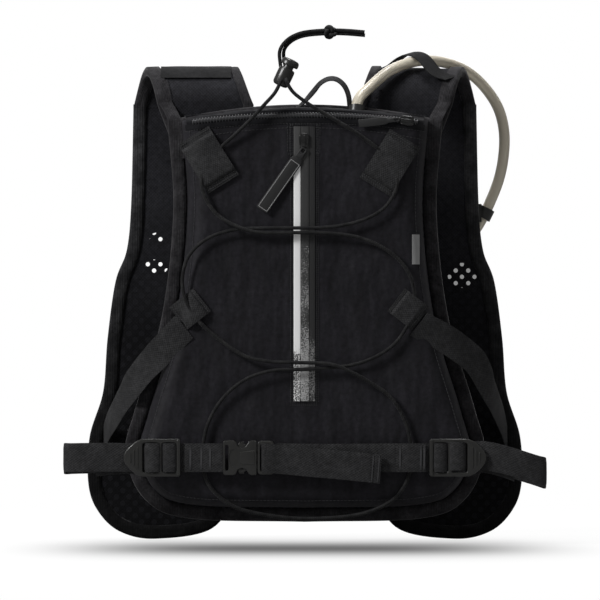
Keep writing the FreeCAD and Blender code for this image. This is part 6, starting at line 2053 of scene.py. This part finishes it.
@dataclass
class Belt:
    """The waist belt: side straps, tension locks, links, buckle and free tail; its sizes in millimetres."""

    WEB = 25.0
    thick: float = 1.6
    y: float = BELT_Y / MM
    z: float = BELT_Z / MM
    root_y: float = SEAM_Y / MM - 3
    fold_width: float = 24.6
    thread: float = 0.3
    end_sag: float = 0.28

    def build(self) -> None:
        """Every piece of the belt."""
        self.sewing = Sewing(self.thread * MM)
        for side, sign in SIDES:
            self.side_strap(side, sign)
            self.lock(side, sign)
        self.links()
        self.tail()
        Buckle("waist", -71, 29, 15, 30, 8.4, self.y, self.z, ("root", "waist_plug"),
               ("buckle_socket", "buckle_plug", "buckle_arms")).build()
        self.sewing.build("belt_stitches")

    def run(self, name: str, spots: Sequence[tuple[float, float, float]], lean: float = 0.0,
            width: float = WEB, steps: int = 8) -> bpy.types.Object:
        """Webbing on edge through places (x, y, z) in millimetres."""
        stations = [Station(mm(*p), Vector((lean, 0, 1)), width * MM) for p in spots]
        return strap(name, stations, self.thick * MM, steps)

    def side_strap(self, side: str, sign: int) -> None:
        """A belt strap: out from the hip, round its end loop and back through the lock, spare end behind.

        Args:
            side: left or right.
            sign: -1 on the left and 1 on the right, where the end loop sags.
        """
        y, z, root = self.y, self.z, self.root_y
        spots = [(158, root, z - 2), (176, root + 0.6, z - 2), (192, root, z - 2.4),
                 (203, root - 1.5, z - 2.8), (208.4, root - 6, z - 3), (209.6, root - 13, z - 2.6),
                 (209.6, y + 12, z - 1.4), (208.6, y + 6.0, z), (203, y + 3.0, z), (190, y + 1.6, z + 0.4),
                 (172, y + 1.8, z + 0.4), (156, y + 2.9, z), (146, y + 3.3, z), (140.4, y + 2.2, z),
                 (138.6, y - 0.4, z), (136.6, y - 2.5, z), (132, y - 3.3, z), (127.4, y - 2.4, z),
                 (125.2, y + 0.4, z), (126.6, y + 3.6, z), (134, y + 5.1, z - 0.6), (150, y + 5.6, z - 1.6),
                 (168, y + 5.3, z - 2.6), (182, y + 6.3, z - 4.0)]
        if sign > 0:
            spots = [(x, yy, zz + 1.5 - max(x - 160, 0) * self.end_sag) for x, yy, zz in spots]
        whole = self.run(f"belt_side_{side}", [(sign * x, yy, zz) for x, yy, zz in spots], steps=6)
        self.gather(whole)
        dress(whole, "", Finishes.webbing, [f"belt_strap_{side}"])
        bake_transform(whole)
        low = z - (4.4 if sign > 0 else 2)
        for x in (sign * 172, sign * 176):
            self.sewing.bar(mm(x, root - 1.0, low), 22, 1.2)

    def gather(self, obj: bpy.types.Object) -> None:
        """Lets webbing sag and swell a little."""
        for vertex in obj.data.vertices:
            push = noise.noise(vertex.co * 34)
            vertex.co.z += 0.5 * MM * push

    def lock(self, side: str, sign: int) -> None:
        """A tension lock: a rounded thumb tab and a frame round two windows with a bar between them.

        Args:
            side: left or right.
            sign: -1 on the left and 1 on the right.
        """
        y, z = self.y, self.z
        right = [(108, 14.6), (108.6, 15.8), (110, 16.5), (138, 16.5), (142.5, 16.1), (147, 14.2),
                 (152.5, 9.6), (156, 5.6), (157.6, 2.0)]
        outline = [(x, z + h) for x, h in right] + [(x, z - h) for x, h in reversed(right)]
        windows = [rounded(112.2, 124.2, z - 12.8, z + 12.8, 1.6),
                   rounded(127.6, 141.0, z - 12.8, z + 12.8, 1.6)]
        if sign < 0:
            outline = mirror_flat(outline, 0)
            windows = [mirror_flat(w, 0) for w in windows]
        plate = prism(f"lock_{side}", outline, y - 2.0, y + 2.0, 1.1, windows, 3)
        rim = []
        for i in range(3):
            x = 145.5 + 3.1 * i
            tall = 9.4 - 2.6 * i
            left, high = sorted((sign * (x - 0.7), sign * (x + 0.7)))
            rim.append(prism("rib", rounded(left, high, z - tall, z + tall, 0.6), y - 2.55, y - 1.6, 0.4))
        lip = sorted((sign * 108.2, sign * 111.4))
        rim.append(prism("lip", rounded(lip[0], lip[1], z - 15.8, z + 15.8, 1.2), y - 2.9, y - 1.0, 0.8))
        lock = join(f"tension_lock_{side}_plate", [plate, *rim])
        smooth(lock, 35)
        dress(lock, f"waist_lock_{side}", Finishes.plastic, [f"tension_lock_{side}"])

    def links(self) -> None:
        """The short webbing from each lock to the buckle, wrapped round the locks' inner bars."""
        y, z = self.y, self.z
        wrap = [(121.6, y + 2.6, z), (123.0, y - 0.6, z), (121.0, y - 2.6, z), (117.2, y - 3.2, z),
                (113.4, y - 2.5, z), (111.6, y - 0.2, z), (109.8, y + 1.6, z), (106.5, y + 1.4, z)]
        left = [(-x, yy, zz) for x, yy, zz in wrap]
        left += [(-103, y + 0.4, z), (-97, y, z), (-90, y, z), (-82, y - 0.2, z), (-74, y, z - 0.3),
                 (-69.6, y, z - 0.3)]
        link = self.run("belt_link_left_web", left, steps=6)
        fold = [(-104, y - 1.6, z), (-94, y - 1.7, z), (-84, y - 1.8, z), (-75, y - 1.6, z),
                (-71.2, y - 1.4, z)]
        link = join("belt_link_left_web",
                    [link, self.run("belt_link_left_fold", fold, width=self.fold_width)])
        dress(link, "root", Finishes.webbing, ["belt_link_left"])
        for x in (-99.5, -90, -82.5):
            self.sewing.bar(mm(x, y - 2.6, z), 21, 1.3)
        right = wrap + [(103, y + 0.4, z), (96, y, z), (80, y, z), (60, y + 0.2, z - 0.2), (36, y, z - 0.4),
                        (10, y + 0.1, z - 0.4), (-10, y, z - 0.2), (-24, y, z)]
        link = self.run("belt_link_right_web", right, steps=6)
        fold = [(105, y - 1.6, z), (96, y - 1.7, z), (88, y - 1.8, z), (79, y - 1.6, z - 0.2)]
        link = join("belt_link_right_web",
                    [link, self.run("belt_link_right_fold", fold, width=self.fold_width)])
        dress(link, "", Finishes.webbing, ["belt_link_right"])
        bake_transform(link)
        for x in (103.5, 100.5, 82.5):
            self.sewing.bar(mm(x, y - 2.7, z), 21, 1.2)

    def tail(self) -> None:
        """The belt's free end, which comes forward through the plug's frame and hangs a little."""
        y, z, lean = self.y, self.z, 0.07
        spots = [(-31.5, y + 2.8, z), (-30.6, y - 0.4, z), (-31.8, y - 2.9, z), (-34.6, y - 3.9, z),
                 (-37.6, y - 3.2, z)]
        roll = self.run("tail_roll", spots, steps=6)
        free = [(-36.5, y - 3.4, z - 0.4), (-33, y - 4.0, z - 0.5), (-28, y - 3.8, z - 0.8),
                (-22, y - 2.8, z - 1.4), (-8, y - 2.3, z - 2.8), (10, y - 2.8, z - 4.4),
                (30, y - 3.4, z - 6.2), (50, y - 3.9, z - 8.2), (65.5, y - 4.1, z - 9.8)]
        end = self.run("tail_web", free, lean=lean, steps=7)
        hem = self.run("tail_hem", [(57.5, y - 5.4, z - 9), (61, y - 5.5, z - 9.4),
                                    (65.6, y - 5.6, z - 9.9)], lean)
        tail = join("belt_tail_web", [roll, end, hem])
        dress(tail, "waist_plug", Finishes.webbing, ["belt_tail"])
        stitches = Sewing(self.thread * MM)
        for x in (58.6, 63.8):
            stitches.bar(mm(x, y - 6.5, z - 9.4), 23, 0.7, 3, Vector((lean, 0, 1)).normalized())
        stitches.build("tail_stitches", "waist_plug")


# -----------------------------------------------------------------------------
# Zips
# -----------------------------------------------------------------------------
@dataclass
class Zips:
    """The coated zip down the bag's middle and the toothed zip over its top. Its sizes are in millimetres."""

    low: float = 126.0
    high: float = 365.0
    tab_turn: float = 35.0
    top_radius: float = 800.0
    top_level: float = 375.0
    reach: float = 99.0
    coil_pitch: float = 2.6
    TOOTH = ((2.7, 0.8, 0.34), (1.7, 1.6, 0.56), (0.2, 1.9, 0.6), (-1.1, 1.5, 0.54), (-1.5, 0.8, 0.36))

    def build(self) -> None:
        """Both zips with their sliders and pulls."""
        self.centre()
        self.top()
        self.sliders()

    def centre(self) -> None:
        """Two glossy coated lips with painted reflections, which meet over the teeth between stitched cloth
        edges.
        """
        x0, low, high = ZIP_X / MM, self.low, self.high
        nodes = iter((["centre_zip_tape"], ["centre_zip_coil"], []))
        # Each lip's finish paints the reflection of its glossy coating into its colour.
        for name, start, end, finish in (
            ("zip_lip_left", -8.9, -3.0, Finishes.bright), ("zip_lip_middle", -2.6, 4.3, Finishes.painted_sparkle_lip),
            ("zip_lip_right", 4.3, 9.8, Finishes.painted_sheen_lip),
        ):
            line = [mm(x0 + (start + end) / 2, 0, low + (high - low) * i / 80) for i in range(81)]
            lip = face_band(name, line, (end - start) * MM, 1.1 * MM if end < 5 else 0.5 * MM, 0.8 * MM,
                            wide=7)
            dress(lip, "root", finish, next(nodes))
        sewing = Sewing(0.00034)
        for offset in (-11.6, -10.2, 11.0, 12.4):
            line = [mm(x0 + offset, 0, low - 1 + (high - low + 3) * i / 120) for i in range(121)]
            sewing.run([BAG.at(p.x, p.z, 0.25 * MM) for p in line], BAG.normal, 2.0 * MM)
        for level in (low - 3.4, low - 1.6, high + 1.4, high + 3.2):
            line = [mm(x0 + s * 24, 0, level) for s in spread(20)]
            sewing.run([BAG.at(p.x, p.z, 0.25 * MM) for p in line], BAG.normal, 1.8 * MM)
        sewing.build("centre_zip_stitches", slot="zip_tape")

    def arc(self, offset: float, count: int, reach: float | None = None) -> list[Vector]:
        """Places along the top zip, offset above its middle line, in (x, z)."""
        reach = reach or self.reach
        result = []
        for i in range(count):
            x = reach * (2 * i / (count - 1) - 1)
            z = self.top_level - self.top_radius + math.sqrt(self.top_radius ** 2 - x * x) + offset
            result.append(mm(x, 0, z))
        return result

    def top(self) -> None:
        """Two tapes, a row of interlocked teeth and the stitch lines beside them."""
        pieces = []
        for offset in (-4.3, 4.3):
            pieces.append(face_band("tape", self.arc(offset, 90, 104), 5.2 * MM, 0.5 * MM, 0.7 * MM))
        tapes = join("top_zip_tapes", pieces)
        dress(tapes, "root", Finishes.tape, ["main_zip_tape"])
        bed = face_band("top_zip_bed", self.arc(0, 90, 103), 5.0 * MM, 0.1 * MM, 0.7 * MM)
        dress(bed, "root", Finishes.tape)
        self.teeth()
        sewing = Sewing(0.0003)
        for offset in (-7.4, 7.0):
            sewing.run([BAG.at(p.x, p.z, 0.4 * MM) for p in self.arc(offset, 160, 106)], BAG.normal, 2.6 * MM)
        sewing.build("top_zip_stitches", slot="zip_tape")

    def teeth(self) -> None:
        """Teeth in two interlocked rows, each a small loop of wire."""
        line = evenly(self.arc(0, 200, 99), self.coil_pitch / 2 * MM)
        points, faces = [], []
        for i in range(1, len(line) - 1):
            along = (line[i + 1] - line[i - 1]).normalized()
            across = Vector((along.z, 0, -along.x))
            side = 1 if i % 2 else -1
            base = len(points)
            for reach, lift, size in self.TOOTH:
                spot = line[i] + across * (side * reach * MM)
                centre = BAG.at(spot.x, spot.z, lift * MM)
                for k in range(4):
                    turn = math.pi / 4 + math.pi / 2 * k
                    out = Vector((0, -math.sin(turn) * size * MM, 0))
                    points.append(centre + along * (math.cos(turn) * size * MM) + out)
            for r in range(4):
                faces += tube_faces(base + 4 * r, base + 4 * r + 4, 4)
            faces.append(tuple(base + k for k in range(4)))
            faces.append(tuple(base + 16 + k for k in reversed(range(4))))
        coil = mesh_object("top_zip_teeth", points, faces)
        smooth(coil, 60)
        dress(coil, "root", Finishes.coil, ["main_zip_coil"])

    def slider(self, name: str, middle: Vector, turn: float) -> bpy.types.Object:
        """A slider made pointing up at the origin, then turned and put in place: body, ribs and bail.

        Args:
            name: the piece's name.
            middle: its place in metres.
            turn: its turn about Y in degrees.

        Returns:
            The mesh object.
        """
        face = FACE_Y / MM
        body = [(-2.6, 6.0), (2.6, 6.0), (4.0, 4.6), (4.3, 1.5), (3.9, -3.6), (3.0, -6.0), (-3.0, -6.0),
                (-3.9, -3.6), (-4.3, 1.5), (-4.0, 4.6)]
        plate = prism("plate", body[::-1], face - 3.1, face - 1.9, 0.5)
        bail = prism("bail", [(-1.3, 4.4), (1.3, 4.4), (1.5, 2.6), (1.2, -5.6), (-1.2, -5.6),
                              (-1.5, 2.6)][::-1],
                     face - 4.1, face - 2.9, 0.45)
        rims = [prism("rim", rounded(x - 0.5, x + 0.5, -4.6, 4.8, 0.4), face - 3.5, face - 2.6, 0.3)
                for x in (-3.3, 3.3)]
        slider = join(name, [plate, bail, *rims])
        slider.matrix_world = Matrix.Translation(middle) @ Matrix.Rotation(math.radians(turn), 4, "Y")
        settle(slider)
        smooth(slider, 35)
        return slider

    def pull(self, name: str, width: float, length: float, hinge: Vector, turn: float) -> bpy.types.Object:
        """A pull tab that hangs from its hinge, with a moulded eye at its top.

        Args:
            name: the piece's name.
            width: its width in millimetres.
            length: its length below the hinge in millimetres.
            hinge: the hinge's place in metres.
            turn: its turn about Y in degrees.

        Returns:
            The mesh object.
        """
        face = FACE_Y / MM
        half = width / 2
        tab = prism("tab", [(-half, -length), (half, -length), (half, -16), (half - 0.4, -10.5),
                            (half * 0.62, -8), (half * 0.62, -5.5), (-half * 0.62, -5.5),
                            (-half * 0.62, -8), (-half + 0.4, -10.5), (-half, -16)][::-1], face - 3.55,
                    face - 2.25, 0.5)
        collar = prism("collar", rounded(-half * 0.55, half * 0.55, -8.6, 2.0, 1.6), face - 3.9, face - 2.2,
                       0.5, [rounded(-half * 0.26, half * 0.26, -2.6, 0.6, 0.8)])
        pull = join(name, [tab, collar])
        pull.matrix_world = Matrix.Translation(hinge) @ Matrix.Rotation(math.radians(turn), 4, "Y")
        settle(pull)
        smooth(pull, 35)
        return pull

    def sliders(self) -> None:
        """The sliders and pulls of both zips."""
        low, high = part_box("centre_zip_slider")
        at = Vector(((low[0] + high[0]) / 2, 0, (low[2] + high[2]) / 2))
        slider = self.slider("centre_slider_body", at, 0)
        dress(slider, "centre_slider", Finishes.metal, ["centre_zip_slider"])
        hinge = Vector((at.x, 0, at.z - 8.4 * MM))
        pull = self.pull("centre_pull_tab", 11, 64, hinge, self.tab_turn)
        dress(pull, "centre_pull", Finishes.pull, ["centre_zip_pull"])
        border = self.border(hinge, self.tab_turn, 4.6, 62.6)
        dress(border, "centre_pull", Finishes.pull_edge)
        swing = math.degrees((self.reach - 10) / self.top_radius)
        park = mm(self.top_radius * math.sin(math.radians(swing)), 0,
                  self.top_level - self.top_radius + self.top_radius * math.cos(math.radians(swing)))
        slider = self.slider("top_slider_body", park, 90 + swing)
        dress(slider, "main_slider", Finishes.metal, ["main_zip_slider"])
        pull = self.pull("top_pull_tab", 7, 34, park + mm(-8.4, 0, 0.8), 84)
        dress(pull, "main_pull", Finishes.pull, ["main_zip_pull"])

    def border(self, hinge: Vector, turn: float, half: float, length: float) -> bpy.types.Object:
        """A thin raised border round the pull tab's lower part."""
        face = FACE_Y / MM
        outer = rounded(-half, half, -length, -13, 0.8)
        inner = rounded(-half + 0.45, half - 0.45, -length + 0.45, -13.45, 0.6)
        ring = prism("centre_pull_border", outer, face - 3.68, face - 3.5, 0.05, [inner], 1)
        ring.matrix_world = Matrix.Translation(hinge) @ Matrix.Rotation(math.radians(turn), 4, "Y")
        settle(ring)
        return ring


# -----------------------------------------------------------------------------
# Hang loop, chest strap and what lies inside
# -----------------------------------------------------------------------------
class Trimmings:
    """The hang loop, the chest strap on its rails, and the reservoir inside the bag."""

    def build(self) -> None:
        """All of them."""
        self.hang_loop()
        self.chest()
        self.inside()

    def hang_loop(self) -> None:
        """A narrow tape in a round loop at the top edge."""
        y = SEAM_Y / MM - 6
        spots = [(-6.0, 382.4), (1.0, 389), (7.6, 396.6), (13.4, 403.6), (20.4, 407.4), (27.6, 407),
                 (33.8, 402.2), (37.8, 394), (39.4, 382.6)]
        ways = [Vector((0, 0.87, 0)) + mm(x - 20, 0, z - 385).normalized() * 0.5 for x, z in spots]
        stations = [Station(mm(x, y, z), way, 8 * MM) for (x, z), way in zip(spots, ways)]
        loop = strap("hang_loop_tape", stations, 1.8 * MM)
        dress(loop, "root", Finishes.webbing, ["hang_loop"])

    def chest(self) -> None:
        """Rails, sliders, webbing and the small buckle."""
        y, z, rail_at = FRONT_FAR_Y / MM + 6, 300.0, 68.0
        rails = []
        for sign in (-1, 1):
            x = sign * rail_at
            spots = [mm(x, y - 5.6, 252), mm(x, y - 3, 252.4), mm(x, y - 0.6, 254), mm(x, y, 258),
                     mm(x, y, 280), mm(x, y, 300), mm(x, y, 320), mm(x, y, 342), mm(x, y - 0.6, 346),
                     mm(x, y - 3, 347.6), mm(x, y - 5.6, 348)]
            curve = cord_curve("rail", through(spots, 4), 2 * MM)
            make_active(curve)
            bpy.ops.object.convert(target="MESH")
            rails.append(bpy.context.object)
        dress(join("chest_rails", rails), "root", Finishes.cord, ["sternum_rails"])
        for side, sign in SIDES:
            low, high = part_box(f"sternum_slider_{side}")
            outline = rounded(low[0] / MM, high[0] / MM, z - 12, z + 12, 2.4)
            bore = rounded(sign * rail_at - 3.2, sign * rail_at + 3.2, z - 7.5, z + 7.5, 1.4)
            block = prism(f"chest_slider_{side}", outline, y - 4.6, y + 5, 1.4, [bore])
            dress(block, "sternum_strap", Finishes.plastic, [f"sternum_slider_{side}"])
        web = strap("chest_web_left", [Station(mm(x, y + d, z), UP, 20 * MM) for x, d in
                                       ((-64, 0.4), (-56, 0.2), (-40, 0), (-26, 0.1), (-14.5, 0))], 1.6 * MM)
        dress(web, "sternum_strap", Finishes.webbing, ["sternum_web_left"])
        web = strap("chest_web_right", [Station(mm(x, y + d, z), UP, 20 * MM) for x, d in
                                        ((32, 0), (40, 0.1), (50, 0), (58, 0.2), (64, 0.4))], 1.6 * MM)
        dress(web, "", Finishes.webbing, ["sternum_web_right"])
        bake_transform(web)
        Buckle("chest", -16, 28, 22, 23, 8, y, z, ("sternum_strap", "sternum_release"),
               ("sternum_socket", "sternum_plug", "sternum_arms")).build()

    def inside(self) -> None:
        """The reservoir and the divider, as soft sheets, and the hard fittings with their finishes."""
        low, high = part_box("reservoir_bag")
        middle, corner = (low[1] + high[1]) / 2, 18.0
        outline = [Vector((x * MM, 0, z * MM)) for x, z in
                   rounded(low[0] / MM, high[0] / MM, low[2] / MM, high[2] / MM, corner, 8)][::-1]
        region = Region(evenly(outline, 4 * MM, closed=True))

        def swell(gap: float) -> float:
            """Half the thickness, at a distance from the welded edge."""
            return (high[1] - low[1]) / 2 * min(gap / 0.02, 1.0) ** 0.5 + 0.2 * MM

        skin = pad("reservoir_skin", region, (mm(0, 0, 250), mm(0, 0, 140)),
                   (0, 0.04, 0.1, 0.2, 0.4, 0.7, 1.0),
                   lambda _x, _z, gap: middle - swell(gap), lambda _x, _z, gap: middle + swell(gap))
        dress(skin, "root", Finishes.film, ["reservoir_bag"])
        low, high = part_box("compartment_divider")
        rows, middle = [], (low[1] + high[1]) / 2
        for i in range(25):
            z = low[2] + (high[2] - low[2]) * i / 24
            half = min(high[0], BAG.half_width(z, 9 * MM))
            rows.append([])
            for s in spread(17):
                wave = 0.4 * MM * noise.noise(Vector((s * 9, z * 30, 0)))
                rows[-1].append(Vector((2 * half * s, middle + wave, z)))
        divider = slab("divider_sheet", rows, 0.8 * MM, 0.9)
        dress(divider, "root", Finishes.pocket, ["compartment_divider"])
        for node in ("fill_port", "fill_cap", "outlet_elbow", "hose_clip", "hose_port"):
            clear = node in ("fill_port", "fill_cap", "outlet_elbow")
            paint_node(node, Finishes.valve if clear else Finishes.plastic)


def main() -> None:
    """Builds the studio and the pack."""
    Studio().build()
    Cords().build()
    Bag().build()
    for side, sign in SIDES:
        Harness(side, sign).build()
    Keepers().build()
    Lacing().build()
    Belt().build()
    Zips().build()
    Trimmings().build()


if __name__ == "__main__":
    main()
